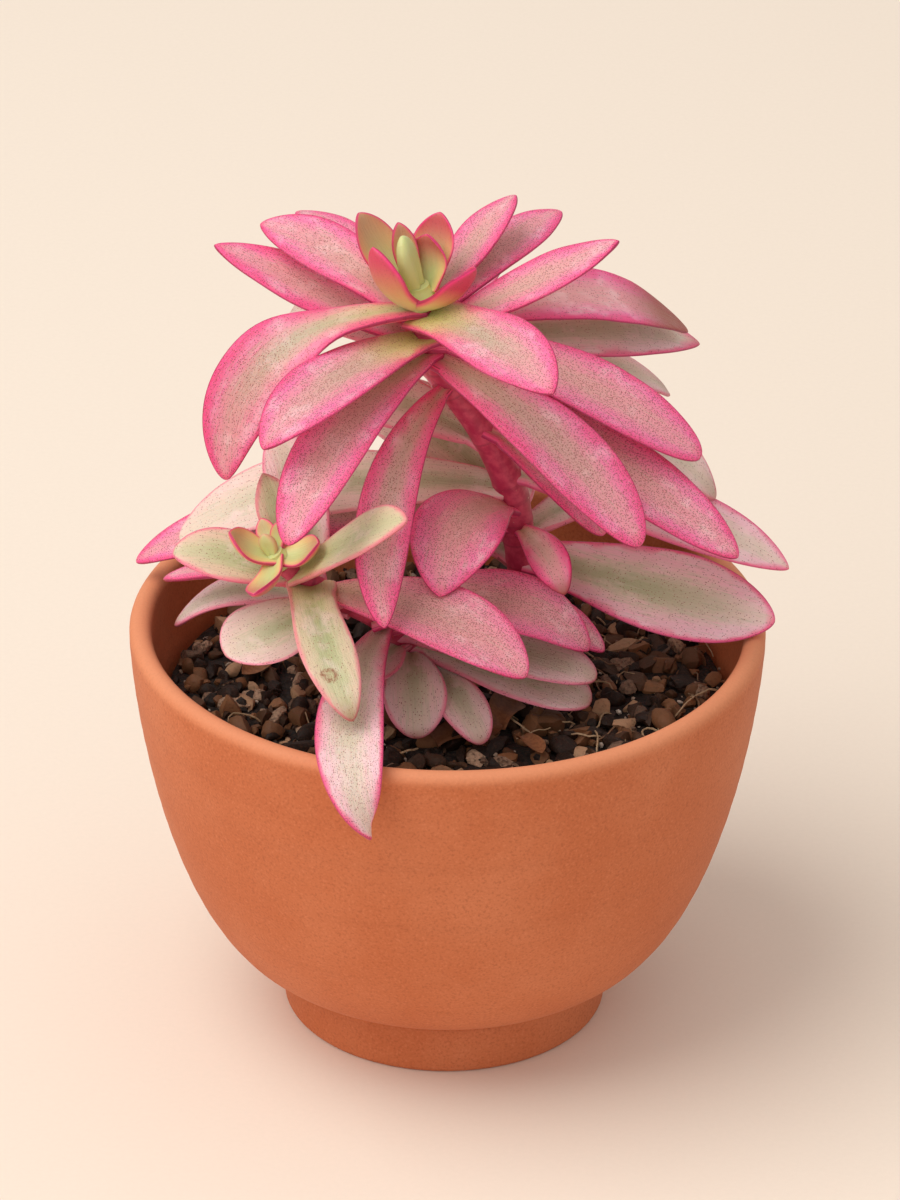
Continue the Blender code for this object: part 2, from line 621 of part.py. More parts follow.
def main():
    clear_scene()
    add_pot()
    add_soil()
    for name in STEMS:
        add_stem(name)
    for leaf in LEAVES:
        add_leaf(leaf)
    for name in BUDS:
        add_bud(name)


main()
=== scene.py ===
# %% [markdown]
# # A potted crassula, dressed for its portrait
#
# The plant's solids come from the CAD frame: a footed terracotta bowl, soil, two stems, three buds and
# 53 fleshy leaves. This lesson gives them their looks. The frame stays where it is, in metres, with +Z up
# and the photograph's viewer on the -Y side.

# %% Load the frame
import math
import random
from collections import namedtuple

import bmesh
import bpy
import numpy as np
from mathutils import Matrix, Quaternion, Vector, noise


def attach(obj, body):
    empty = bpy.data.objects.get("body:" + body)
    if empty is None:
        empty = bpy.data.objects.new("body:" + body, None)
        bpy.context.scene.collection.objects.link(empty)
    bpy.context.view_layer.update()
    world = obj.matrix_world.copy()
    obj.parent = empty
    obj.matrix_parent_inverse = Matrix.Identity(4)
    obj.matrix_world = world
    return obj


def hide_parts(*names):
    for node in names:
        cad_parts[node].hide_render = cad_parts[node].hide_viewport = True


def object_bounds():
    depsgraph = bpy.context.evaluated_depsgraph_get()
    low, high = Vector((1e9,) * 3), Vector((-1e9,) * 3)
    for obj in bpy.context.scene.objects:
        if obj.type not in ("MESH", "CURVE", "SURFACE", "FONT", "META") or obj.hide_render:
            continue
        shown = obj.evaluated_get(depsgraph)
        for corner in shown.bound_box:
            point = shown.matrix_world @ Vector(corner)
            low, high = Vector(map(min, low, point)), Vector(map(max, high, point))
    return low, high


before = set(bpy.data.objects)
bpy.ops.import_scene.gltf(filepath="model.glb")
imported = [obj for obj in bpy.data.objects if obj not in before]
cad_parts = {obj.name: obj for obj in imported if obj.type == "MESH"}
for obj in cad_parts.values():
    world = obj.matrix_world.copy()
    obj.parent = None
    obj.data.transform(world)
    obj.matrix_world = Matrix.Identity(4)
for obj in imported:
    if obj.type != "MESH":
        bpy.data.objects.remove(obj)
cad_box = [list(corner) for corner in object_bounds()]
MM = 0.001
print(len(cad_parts), "nodes in the frame, box in metres:", cad_box)

# %% [markdown]
# ## The camera
#
# The portrait was taken with a long lens from a little above the pot, so the rim shows as an ellipse and
# the sides hardly converge. A long lens far away gives that, where a short one close by would swell the
# near rim. The camera looks at a point on the bowl's axis and is turned by half a degree, as the hand-held
# one was.

# %% Place the camera
LOOK_AT = Vector((0.4, 0.0, 85.77)) * MM
LOOK_DOWN = math.radians(28.72)
LOOK_DISTANCE = 1.2
LENS = 191.3
FILM_WIDTH = 36.0
LEAN = math.radians(0.557)


def add_camera():
    lens = bpy.data.cameras.new("portrait_camera")
    lens.lens = LENS
    lens.sensor_width = FILM_WIDTH
    camera = bpy.data.objects.new("portrait_camera", lens)
    back = Vector((0.0, -math.cos(LOOK_DOWN), math.sin(LOOK_DOWN)))
    camera.location = LOOK_AT + LOOK_DISTANCE * back
    camera.rotation_mode = "QUATERNION"
    camera.rotation_quaternion = (-back).to_track_quat("-Z", "Y") @ Quaternion((0.0, 0.0, 1.0), LEAN)
    bpy.context.scene.collection.objects.link(camera)
    bpy.context.scene.camera = camera
    return camera


print("camera at", [round(x, 3) for x in add_camera().location])

# %% [markdown]
# ## Small tools for finishes
#
# A finish in Blender is a graph of nodes. Adding nodes one by one takes many lines, so this small class
# keeps a material open and adds a node in one call: what feeds it, and its settings. It is only a way to
# write graphs shortly, and what it builds can be opened and changed in the shader editor. A noise that
# lies on the object's own place has its scale per metre, so a scale of 1000 gives millimetre grains. One
# that lies on a leaf's marks has its scale per millimetre.

# %% A recipe for a finish
# The skin's sockets for plain values, under the words that the finishes use
SOCKETS = {
    "roughness": "Roughness",
    "shine": "Specular IOR Level",
    "glow": "Subsurface Weight",
    "glow_radius": "Subsurface Radius",
    "glow_depth": "Subsurface Scale",
}


class Recipe:
    """A material whose nodes are added one call at a time."""

    def __init__(self, name):
        self.material = bpy.data.materials.new(name)
        self.material.use_nodes = True
        self.tree = self.material.node_tree
        self.skin = self.tree.nodes["Principled BSDF"]

    def feed(self, socket, value):
        """Links another node's output to a socket, or sets the socket to a plain value."""
        if isinstance(value, bpy.types.NodeSocket):
            self.tree.links.new(value, socket)
        else:
            socket.default_value = value

    def add(self, kind, inputs, **settings):
        """A new node of a kind, with what feeds its inputs and its own settings."""
        node = self.tree.nodes.new(kind)
        for name, value in settings.items():
            setattr(node, name, value)
        for socket, value in inputs.items():
            self.feed(node.inputs[socket], value)
        return node

    def maths(self, operation, first, second=0.0):
        return self.add("ShaderNodeMath", {0: first, 1: second}, operation=operation).outputs[0]

    def plus(self, first, second):
        return self.maths("ADD", first, second)

    def times(self, first, second):
        return self.maths("MULTIPLY", first, second)

    def fade(self, value, start, end, low=0.0, high=1.0):
        """A smooth step from low to high while value goes from start to end."""
        inputs = {"Value": value, "From Min": start, "From Max": end, "To Min": low, "To Max": high}
        return self.add("ShaderNodeMapRange", inputs, interpolation_type="SMOOTHSTEP").outputs[0]

    def blend(self, share, first, second):
        """A colour between two colours, which are inputs 6 and 7 of the Mix node and its output 2."""
        inputs = {0: share, 6: first, 7: second}
        return self.add("ShaderNodeMix", inputs, data_type="RGBA").outputs[2]

    def cloud(self, place, scale, detail=2.0, roughness=0.5):
        """A soft noise around one half."""
        inputs = {"Vector": place, "Scale": scale, "Detail": detail, "Roughness": roughness}
        return self.add("ShaderNodeTexNoise", inputs).outputs["Fac"]

    def cells(self, place, scale):
        """Scattered points: the distance to the nearest one, and a colour of its own."""
        return self.add("ShaderNodeTexVoronoi", {"Vector": place, "Scale": scale}).outputs

    def stretch(self, place, size):
        """The place vector, stretched by a factor along each of its directions."""
        inputs = {0: place, 1: size}
        return self.add("ShaderNodeVectorMath", inputs, operation="MULTIPLY").outputs[0]

    def marks(self, name):
        """A vector that the mesh carries, and its three parts."""
        node = self.add("ShaderNodeAttribute", {}, attribute_name=name)
        parts = self.add("ShaderNodeSeparateXYZ", {0: node.outputs["Vector"]}).outputs
        return node.outputs["Vector"], parts[0], parts[1], parts[2]

    def place(self):
        return self.add("ShaderNodeTexCoord", {}).outputs["Object"]

    def bump(self, height, depth, under=None):
        """Tiny relief of the given depth in metres, on top of another relief if one is given."""
        inputs = {"Height": height, "Distance": depth, "Strength": 1.0}
        if under is not None:
            inputs["Normal"] = under
        return self.add("ShaderNodeBump", inputs).outputs[0]

    def finish(self, colour, relief=None, **plain):
        """Ends the graph: colour and relief go to the skin, and plain values onto its own sockets."""
        self.feed(self.skin.inputs["Base Color"], colour)
        if relief is not None:
            self.feed(self.skin.inputs["Normal"], relief)
        for name, value in plain.items():
            self.skin.inputs[SOCKETS[name]].default_value = value
        return self.material


def srgb(red, green, blue):
    """A colour as seen on a screen, from 0 to 255, turned into the linear light that shaders use."""
    def linear(part):
        share = part / 255.0
        return share / 12.92 if share <= 0.04045 else ((share + 0.055) / 1.055) ** 2.4
    return (linear(red), linear(green), linear(blue), 1.0)


print("white in linear light:", srgb(255, 255, 255))

# %% [markdown]
# ## Small tools for meshes
#
# Leaves, stems, stones and the bowl are all skins over rings of points or small clumps. One helper joins
# rings, another turns points and faces into an object that rides on the plant's body, is shaded smooth
# and carries marks: vectors at each point that the finishes read, so that a stripe follows its leaf
# however the leaf bends.

# %% Rings to skin, skin to piece
def loft(rings, tip=None):
    """Points and faces of a closed skin over rings of points, ending flat or in a tip."""
    count = len(rings[0])
    points = [point for ring in rings for point in ring]
    faces = [tuple(reversed(range(count)))]
    for row in range(len(rings) - 1):
        start = row * count
        for i in range(count):
            j = (i + 1) % count
            faces.append((start + i, start + j, start + count + j, start + count + i))
    last = (len(rings) - 1) * count
    if tip is None:
        faces.append(tuple(range(last, last + count)))
    else:
        points.append(tip)
        faces += [(last + i, last + (i + 1) % count, len(points) - 1) for i in range(count)]
    return points, faces


def gather(forms):
    """Several (points, faces, marks) forms as one, with marks a dictionary of vectors by name."""
    points, faces, marks = [], [], {}
    for part_points, part_faces, part_marks in forms:
        start = len(points)
        points += part_points
        faces += [tuple(start + i for i in face) for face in part_faces]
        for name, values in part_marks.items():
            marks.setdefault(name, []).extend(values)
    return points, faces, marks


def kept_inside(points):
    """Points in metres, squeezed a hair along any axis on which they reach past the CAD's box."""
    points = np.array(points) * MM
    for axis in range(3):
        low, high = points[:, axis].min(), points[:, axis].max()
        new_low, new_high = max(low, cad_box[0][axis]), min(high, cad_box[1][axis])
        points[:, axis] = new_low + (points[:, axis] - low) * (new_high - new_low) / (high - low)
    return points.tolist()


def make_piece(name, form, finish, stands_for=(), sharp=60.0):
    """One object from a form in millimetres, riding on the plant's only body."""
    points, faces, marks = form
    mesh = bpy.data.meshes.new(name)
    mesh.from_pydata(kept_inside(points), [], faces)
    turned = bmesh.new()
    turned.from_mesh(mesh)
    bmesh.ops.recalc_face_normals(turned, faces=turned.faces)
    turned.to_mesh(mesh)
    turned.free()
    for mark, values in marks.items():
        layer = mesh.attributes.new(mark, "FLOAT_VECTOR", "POINT")
        layer.data.foreach_set("vector", np.array(values, np.float32).ravel())
    mesh.shade_smooth()
    mesh.set_sharp_from_angle(angle=math.radians(sharp))
    mesh.materials.append(finish)
    piece = bpy.data.objects.new(name, mesh)
    bpy.context.scene.collection.objects.link(piece)
    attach(piece, "root")
    if stands_for:
        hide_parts(*stands_for)
    return piece


# %% [markdown]
# ## Terracotta
#
# The bowl is bare fired clay: matt, warm orange, with a sandy grain finer than a millimetre and cloudy
# patches where the clay took up water and lime. Nothing on it is glossy, so the roughness stays high. The
# colour is mixed from two clays by wide patches, darkened by faint rings from the turning, then speckled
# by a noise as fine as sand. The lip is painted paler: a painted highlight where the round rim meets the
# light.

# %% Terracotta finish
CLAY = srgb(196, 104, 58)
CLAY_PALE = srgb(218, 134, 92)
CLAY_DARK = srgb(160, 78, 42)
CLAY_LIP_HIGHLIGHT = srgb(230, 152, 110)
RING_STRETCH = (6.0, 6.0, 260.0)
LIP_HIGHLIGHT_FROM = 79.0
LIP_HIGHLIGHT_UP_TO = 82.5


def terracotta():
    clay = Recipe("terracotta_clay")
    place = clay.place()
    patches = clay.cloud(place, 28.0, 4.0, 0.6)
    sand = clay.cloud(place, 1900.0, 2.0, 0.6)
    bands = clay.cloud(clay.stretch(place, RING_STRETCH), 1.0, 3.0)
    level = clay.add("ShaderNodeSeparateXYZ", {0: place}).outputs[2]
    colour = clay.blend(clay.fade(patches, 0.35, 0.75, 0.0, 0.45), CLAY, CLAY_PALE)
    colour = clay.blend(clay.fade(bands, 0.45, 0.8, 0.0, 0.12), colour, CLAY_DARK)
    colour = clay.blend(clay.fade(sand, 0.50, 0.72, 0.0, 0.45), colour, CLAY_DARK)
    colour = clay.blend(clay.fade(sand, 0.46, 0.26, 0.0, 0.40), colour, CLAY_PALE)
    # Painted highlight: a paler clay painted on the lip, from its level up, where the round rim catches the
    # light
    colour = clay.blend(clay.fade(level, LIP_HIGHLIGHT_FROM * MM, LIP_HIGHLIGHT_UP_TO * MM, 0.0, 0.7), colour, CLAY_LIP_HIGHLIGHT)
    relief = clay.bump(sand, 0.05 * MM, clay.bump(bands, 0.07 * MM))
    return clay.finish(colour, relief, roughness=0.70, shine=0.45)


clay_skin = terracotta()
print("finish:", clay_skin.name)

# %% [markdown]
# ## The bowl
#
# A thrown bowl is a turned form, so its mesh is one outline carried round the axis. The outline follows
# the frame's bowl: a low foot, a short neck, the swelling wall, a full round lip and the smooth inside.
# It is drawn finer here, with rounded foot edges and the faint ridges that fingers leave in wet clay.
# A ridge only ever moves a point towards the axis, so the bowl never grows past its CAD size.

# %% Bowl outline
RIM_RADIUS = 60.0
RIM_LEVEL = 80.0
LIP_ROUND = 2.1
WALL = 4.2
FOOT_RADIUS = 31.0
FOOT_HEIGHT = 10.2
FOOT_EDGE = 1.1
NECK_RADIUS = 29.4
NECK_LEVEL = 12.0
# The three points that round the neck, as (out, up) from its radius and level
NECK_BEND = ((0.0, -0.9), (0.1, -0.3), (0.9, 0.1))
BOWL_FULLNESS = 1.457
BOWL_SHOULDER = 2.426
INNER_SHOULDER = 2.1
FLOOR_LEVEL = 9.5
FLOOR_RADIUS = 20.0
WALL_STEPS = 60
INSIDE_STEPS = 30
LIP_STEPS = 16
LOW_CROWDING = 1.7


def swell(share, shoulder):
    """How far the wall has swelled out, from 0 to 1, at a share of its height."""
    return (1.0 - (1.0 - min(share, 1.0)) ** BOWL_FULLNESS) ** (1.0 / shoulder)


def wall_radius(level):
    share = (level - NECK_LEVEL) / (RIM_LEVEL - NECK_LEVEL)
    return NECK_RADIUS + (RIM_RADIUS - NECK_RADIUS) * swell(share, BOWL_SHOULDER)


def inside_radius(level):
    share = (level - FLOOR_LEVEL) / (RIM_LEVEL - FLOOR_LEVEL)
    return FLOOR_RADIUS + (RIM_RADIUS - WALL - FLOOR_RADIUS) * swell(share, INNER_SHOULDER)


def quarter(centre, radius, start, steps=5):
    """Points of a quarter circle, as (radius, level), from a start angle in quarter turns."""
    turns = [math.pi / 2 * (start + i / steps) for i in range(steps + 1)]
    return [(centre[0] + radius * math.cos(t), centre[1] + radius * math.sin(t)) for t in turns]


def crowded(low, high, steps):
    """Levels from low to high that lie closer together low down, where the wall turns fastest."""
    return [low + (high - low) * (i / steps) ** LOW_CROWDING for i in range(steps + 1)]


def bowl_outline():
    """The bowl's outline as (radius, level, ridge share), out and up from the foot, then down inside."""
    foot = quarter((FOOT_RADIUS - FOOT_EDGE, FOOT_EDGE), FOOT_EDGE, -1)
    foot += quarter((FOOT_RADIUS - FOOT_EDGE, FOOT_HEIGHT - FOOT_EDGE), FOOT_EDGE, 0)
    neck = [(NECK_RADIUS + out, NECK_LEVEL + up) for out, up in NECK_BEND]
    wall = crowded(NECK_LEVEL, RIM_LEVEL, WALL_STEPS)[1:]
    lip = [math.pi * i / LIP_STEPS for i in range(1, LIP_STEPS)]
    inside = crowded(FLOOR_LEVEL, RIM_LEVEL, INSIDE_STEPS)
    outline = [(radius, level, 0.0) for radius, level in foot + neck]
    outline += [(wall_radius(level), level, 1.0) for level in wall]
    centre = RIM_RADIUS - LIP_ROUND
    outline += [(centre + LIP_ROUND * math.cos(t), RIM_LEVEL + LIP_ROUND * math.sin(t), 0.0) for t in lip]
    return outline + [(inside_radius(level), level, 0.5) for level in reversed(inside)]


print("points in the bowl's outline:", len(bowl_outline()))

# %% Turn and drill the bowl
TURNS = 192
RIDGE_DEPTH = 0.10
RIDGE_PACE = 1.35
RIDGE_WANDER = 2.0
WANDER_LENGTH = 9.0
DRAIN_HOLES = 3
DRAIN_RADIUS = 4.0
DRAIN_CIRCLE = 16.0
DRAIN_TURN = 0.25
DRILL_LENGTH = 30.0


def ridge(level, turn):
    """How deep the clay lies below the outline: slow rings, a little uneven round the bowl."""
    wander = noise.noise(Vector((math.cos(turn), math.sin(turn), level / WANDER_LENGTH)))
    rings = 0.5 + 0.5 * math.sin(level * RIDGE_PACE + RIDGE_WANDER * wander)
    return RIDGE_DEPTH * (0.6 * rings + 0.4 * abs(wander))


def turned_bowl():
    rings = []
    for radius, level, share in bowl_outline():
        ring = []
        for i in range(TURNS):
            turn = math.tau * i / TURNS
            reach = radius - share * ridge(level, turn)
            ring.append((reach * math.cos(turn), reach * math.sin(turn), level))
        rings.append(ring)
    return (*loft(rings), {})


def drill(piece, x, y):
    """Cuts one drain hole through the bowl's floor."""
    bpy.ops.mesh.primitive_cylinder_add(
        vertices=TURNS // 4, radius=DRAIN_RADIUS * MM, depth=DRILL_LENGTH * MM, location=(x * MM, y * MM, 0.0)
    )
    drill_bit = bpy.context.object
    hole = piece.modifiers.new("drain", "BOOLEAN")
    hole.operation = "DIFFERENCE"
    hole.object = drill_bit
    cut = bpy.data.meshes.new_from_object(piece.evaluated_get(bpy.context.evaluated_depsgraph_get()))
    piece.modifiers.clear()
    piece.data = cut
    bpy.data.objects.remove(drill_bit)


bowl = make_piece("pot_bowl", turned_bowl(), clay_skin, ["pot"])
for hole in range(DRAIN_HOLES):
    hole_turn = math.tau * (hole + DRAIN_TURN) / DRAIN_HOLES
    drill(bowl, DRAIN_CIRCLE * math.cos(hole_turn), DRAIN_CIRCLE * math.sin(hole_turn))
print("bowl:", len(bowl.data.polygons), "faces")

# %% [markdown]
# ## Skin of the leaves
#
# A leaf of this plant has a dark hairline and a hot pink band at its margin, a face that goes from pink
# to a tan or grey-green middle, fine lines along it, a pale bloom here and there, and very fine brown
# dots in its outer half. Painting an image would tie the look to one leaf. Instead each mesh carries
# marks: how far across and along the leaf a point lies, how far it is from the margin in millimetres, and
# a few numbers for the leaf's own habit and wear. The finish reads them, so one graph paints every leaf
# differently. Three palettes share the graph: sunlit pink leaves, shaded cream ones and young green ones.

# %% Leaf colours
MARGIN_PINK = srgb(244, 52, 128)
MARGIN_DARK = srgb(146, 24, 70)
GREEN_GLOW = srgb(206, 200, 110)
WINE_DOT = srgb(142, 58, 56)
SAND_TAN = srgb(190, 158, 122)
SAND_PINK = srgb(250, 176, 190)
DRY_BROWN = srgb(150, 80, 50)
WHITE_BLOOM = srgb(252, 222, 220)

# Each palette: the face's middle, the face near the margin, the stripe along the middle, the underside.
# The pink underside is lighter and hotter than the leaf's own, as a painted glow of light through the flesh.
PALETTES = {
    "pink_leaf": (srgb(234, 160, 164), srgb(248, 120, 172), srgb(192, 180, 150), srgb(238, 76, 132)),
    "cream_leaf": (srgb(228, 212, 190), srgb(248, 196, 206), srgb(178, 184, 142), srgb(236, 178, 176)),
    "green_leaf": (srgb(204, 204, 158), srgb(238, 196, 178), srgb(168, 176, 122), srgb(220, 176, 148)),
}
print("palettes:", *PALETTES)

# %% What a leaf's mesh tells its finish
LeafMarks = namedtuple("LeafMarks", "across along face spot rim blush stripe specks glow dry margin")


def leaf_marks(leaf):
    """The marks of a point on a leaf, each named for what it says."""
    _, across, along, face = leaf.marks("blade")
    spot, _, _, rim = leaf.marks("spot")
    _, blush, stripe, specks = leaf.marks("habit")
    _, glow, dry, margin = leaf.marks("wear")
    return LeafMarks(across, along, face, spot, rim, blush, stripe, specks, glow, dry, margin)


def leaf_noises(leaf, spot):
    """Three noises that lie on a leaf: streaks along it, mottle and wide patches."""
    streak = leaf.cloud(leaf.stretch(spot, (1.3, 0.12, 0.0)), 1.0, 3.0, 0.6)
    mottle = leaf.cloud(spot, 0.35, 4.0, 0.65)
    patch = leaf.cloud(spot, 0.13, 2.0, 0.6)
    return streak, mottle, patch


print("marks of a leaf:", *LeafMarks._fields)

# %% Face and margin of a leaf
def leaf_face(leaf, mark, palette, noises):
    """The face: flushed outside, pale inside, with a stripe, fine lines, a bloom and a green base."""
    middle, outer, stripe_tint, underside_and_glow = palette
    streak, mottle, patch = noises
    wide = leaf.plus(leaf.maths("ABSOLUTE", mark.across), leaf.times(streak, 0.5))
    wide = leaf.plus(wide, leaf.times(mottle, 0.4))
    flush = leaf.plus(leaf.fade(wide, 0.60, 1.30), leaf.fade(mark.along, 0.4, 1.1, 0.0, 0.45))
    colour = leaf.blend(leaf.times(flush, mark.blush), middle, outer)
    core = leaf.times(leaf.fade(wide, 1.05, 0.45), leaf.fade(mark.along, 1.0, 0.35))
    colour = leaf.blend(leaf.times(core, mark.stripe), colour, stripe_tint)
    # The underside: the leaf's own colour, and on pink leaves also a painted glow of light through the flesh
    colour = leaf.blend(leaf.fade(mark.face, 0.0, -1.0, 0.0, 0.7), colour, underside_and_glow)
    lines = leaf.cloud(leaf.stretch(mark.spot, (3.2, 0.16, 0.0)), 1.0, 2.0)
    colour = leaf.blend(leaf.fade(lines, 0.50, 0.72, 0.0, 0.35), colour, stripe_tint)
    bloom = leaf.times(leaf.fade(patch, 0.50, 0.68, 0.0, 0.4), leaf.fade(mottle, 0.35, 0.6))
    colour = leaf.blend(bloom, colour, WHITE_BLOOM)
    near_base = leaf.times(leaf.fade(mark.along, 0.42, 0.02), mark.glow)
    return leaf.blend(near_base, colour, GREEN_GLOW)


def leaf_margin(leaf, mark, noises):
    """How pink the margin is: a band of uneven width, from the leaf's own number, and wider underneath."""
    _, mottle, patch = noises
    edge = leaf.plus(mark.rim, leaf.times(mottle, -0.8))
    wide = leaf.times(mark.margin, leaf.fade(mark.face, 0.6, -0.4, 1.0, 2.2))
    wide = leaf.times(wide, leaf.fade(patch, 0.62, 0.38, 0.6, 2.0))
    band = leaf.fade(leaf.maths("DIVIDE", edge, wide), 1.0, -0.3)
    return leaf.times(band, leaf.fade(mark.margin, 0.2, 1.0, 0.45, 0.92))


print("written:", leaf_face.__name__, "and", leaf_margin.__name__)

# %% Dots, scar and wear of a leaf
SCAR_RADIUS = 1.7


def leaf_pepper(leaf, mark):
    """Fine dots less than half a millimetre apart, most of them in the outer half."""
    dots = leaf.cells(mark.spot, 2.8)
    chosen = leaf.add("ShaderNodeSeparateColor", {0: dots["Color"]}).outputs[0]
    thick = leaf.times(leaf.fade(mark.along, 0.05, 0.65, 0.3, 1.0), mark.specks)
    chosen = leaf.fade(leaf.plus(chosen, thick), 0.80, 1.0, 0.0, 0.85)
    return leaf.times(leaf.fade(dots["Distance"], 0.46, 0.20), chosen)


def leaf_scar(leaf, spot):
    """A healed, uneven brown spot with a darker rim, where a leaf carries one."""
    centre, _, _, deep = leaf.marks("scar")
    ends = {0: leaf.stretch(spot, (1, 1, 0)), 1: leaf.stretch(centre, (1, 1, 0))}
    apart = leaf.add("ShaderNodeVectorMath", ends, operation="DISTANCE").outputs["Value"]
    apart = leaf.plus(apart, leaf.times(leaf.cloud(spot, 1.1, 2.0), 1.1))
    ring = leaf.fade(leaf.maths("ABSOLUTE", leaf.maths("SUBTRACT", apart, SCAR_RADIUS)), 0.7, 0.1)
    inside = leaf.fade(apart, 1.9, 1.2, 0.0, 0.45)
    worn = leaf.fade(leaf.cloud(spot, 2.0, 2.0), 0.35, 0.6, 0.3, 1.0)
    return leaf.times(leaf.times(leaf.maths("MAXIMUM", ring, inside), worn), deep)


def leaf_wear(leaf, mark, colour):
    """What lies over the face: sandy flecks, dots, a browned tip, a scar and the margin's dark hairline."""
    sand = leaf.cloud(mark.spot, 2.6, 3.0, 0.7)
    sandy = leaf.fade(mark.specks, 0.0, 0.8, 0.10, 0.42)
    colour = leaf.blend(leaf.times(leaf.fade(sand, 0.52, 0.70), sandy), colour, SAND_TAN)
    colour = leaf.blend(leaf.times(leaf.fade(sand, 0.46, 0.30), sandy), colour, SAND_PINK)
    colour = leaf.blend(leaf_pepper(leaf, mark), colour, WINE_DOT)
    # A brown that creeps in from the tip: dry flesh on most leaves, and partly painted shade on crown_leaf_17
    brown_tip_and_shade = leaf.fade(leaf.plus(mark.along, mark.dry), 0.98, 1.22, 0.0, 0.85)
    colour = leaf.blend(brown_tip_and_shade, colour, DRY_BROWN)
    colour = leaf.blend(leaf_scar(leaf, mark.spot), colour, DRY_BROWN)
    hairline = leaf.times(leaf.fade(mark.rim, 0.30, 0.05), leaf.fade(mark.margin, 0.3, 1.2, 0.05, 0.75))
    return leaf.blend(hairline, colour, MARGIN_DARK)


print("scar radius:", SCAR_RADIUS, "mm")

# %% Leaf finish
LEAF_GLOW_RADIUS = (1.0, 0.35, 0.25)


def leaf_finish(slot):
    leaf = Recipe(f"{slot}_skin")
    mark = leaf_marks(leaf)
    noises = leaf_noises(leaf, mark.spot)
    colour = leaf_face(leaf, mark, PALETTES[slot], noises)
    colour = leaf.blend(leaf_margin(leaf, mark, noises), colour, MARGIN_PINK)
    grain = leaf.cloud(mark.spot, 3.4, 2.0, 0.6)
    relief = leaf.bump(grain, 0.12 * MM, leaf.bump(noises[0], 0.22 * MM))
    return leaf.finish(
        leaf_wear(leaf, mark, colour), relief,
        roughness=0.40, shine=0.45, glow=0.20, glow_radius=LEAF_GLOW_RADIUS, glow_depth=1.4 * MM,
    )


leaf_finishes = {slot: leaf_finish(slot) for slot in PALETTES}
print("leaf finishes:", sorted(leaf_finishes))

# %% [markdown]
# ## Stems
#
# The stems are thinner than a pencil, fleshy and wine pink. A tube through the frame's own points gives
# the form. It swells a little at each level where a leaf sits, as a stem does at its joints, and a dark
# line runs round it there. Two noises cloud the colour and a finer one leaves a few pale flakes.

# %% Stem lines
STEMS = {
    "main": (
        (16.0, 9.0, 52.0, 3.0),
        (16.0, 9.0, 68.0, 3.2),
        (15.0, 8.4, 82.0, 3.2),
        (13.2, 7.4, 96.0, 3.1),
        (11.4, 6.0, 107.0, 3.1),
        (6.8, 4.2, 118.5, 2.8),
        (-0.4, 1.6, 131.0, 2.5),
        (-3.9, 0.2, 140.0, 2.4),
        (-5.4, -0.4, 147.2, 2.2),
    ),
    "side": (
        (-3.0, 0.0, 52.0, 2.1),
        (-3.0, 0.0, 68.0, 2.2),
        (-6.0, -4.0, 77.0, 2.2),
        (-12.5, -10.5, 87.0, 2.1),
        (-21.5, -15.5, 95.0, 2.0),
        (-30.5, -19.5, 103.5, 1.9),
    ),
}
# Levels of the joints, which are the seats of the larger leaves
JOINTS = {
    "main": (90.4, 95.2, 99.5, 104.6, 108.1, 118.5, 129.0, 134.0, 138.7, 142.5, 146.5),
    "side": (76.0, 79.5, 82.0, 87.0, 92.6, 96.4, 99.0, 101.4),
}
GLANCE = 0.05
HALVINGS = 30


def smooth_line(points, share):
    """A point on the smooth curve through the given points, with share running to their last index."""
    last = len(points) - 1
    i = min(int(share), last - 1)
    t = share - i
    before, start, end, after = (points[max(0, min(last, k))] for k in (i - 1, i, i + 1, i + 2))
    return tuple(
        0.5 * (2 * b + (c - a) * t + (2 * a - 5 * b + 4 * c - d) * t * t + (3 * b - a - 3 * c + d) * t ** 3)
        for a, b, c, d in zip(before, start, end, after)
    )


def stem_point(name, share):
    """Centre, direction and radius of a stem at a share of its line, with a glance ahead and behind."""
    line = STEMS[name]
    x, y, z, radius = smooth_line(line, share)
    ahead = Vector(smooth_line(line, min(share + GLANCE, len(line) - 1))[:3])
    behind = Vector(smooth_line(line, max(share - GLANCE, 0))[:3])
    return Vector((x, y, z)), (ahead - behind).normalized(), radius


def stem_at(name, level):
    """Centre, direction and radius of a stem at a level, found by halving the line again and again."""
    low, high = 0.0, len(STEMS[name]) - 1.0
    for _ in range(HALVINGS):
        middle = (low + high) / 2
        if smooth_line(STEMS[name], middle)[2] < level:
            low = middle
        else:
            high = middle
    return stem_point(name, low)


for stem_name, stem_line in STEMS.items():
    print(stem_name, "stem ends at", stem_line[-1][:3], "mm")

# %% Stem tubes
STEM_SIDES = 28
SPAN_STEPS = 16
JOINT_SWELL = 0.04
JOINT_REACH = 0.9
LUMPS_ROUND = 3.0
LUMP_LENGTH = 4.0
LUMP_SHARE = 0.015


def joint_at(name, level):
    """How near a level is to one of a stem's joints, from 0 to 1."""
    return max(math.exp(-((level - joint) / JOINT_REACH) ** 2) for joint in JOINTS[name])


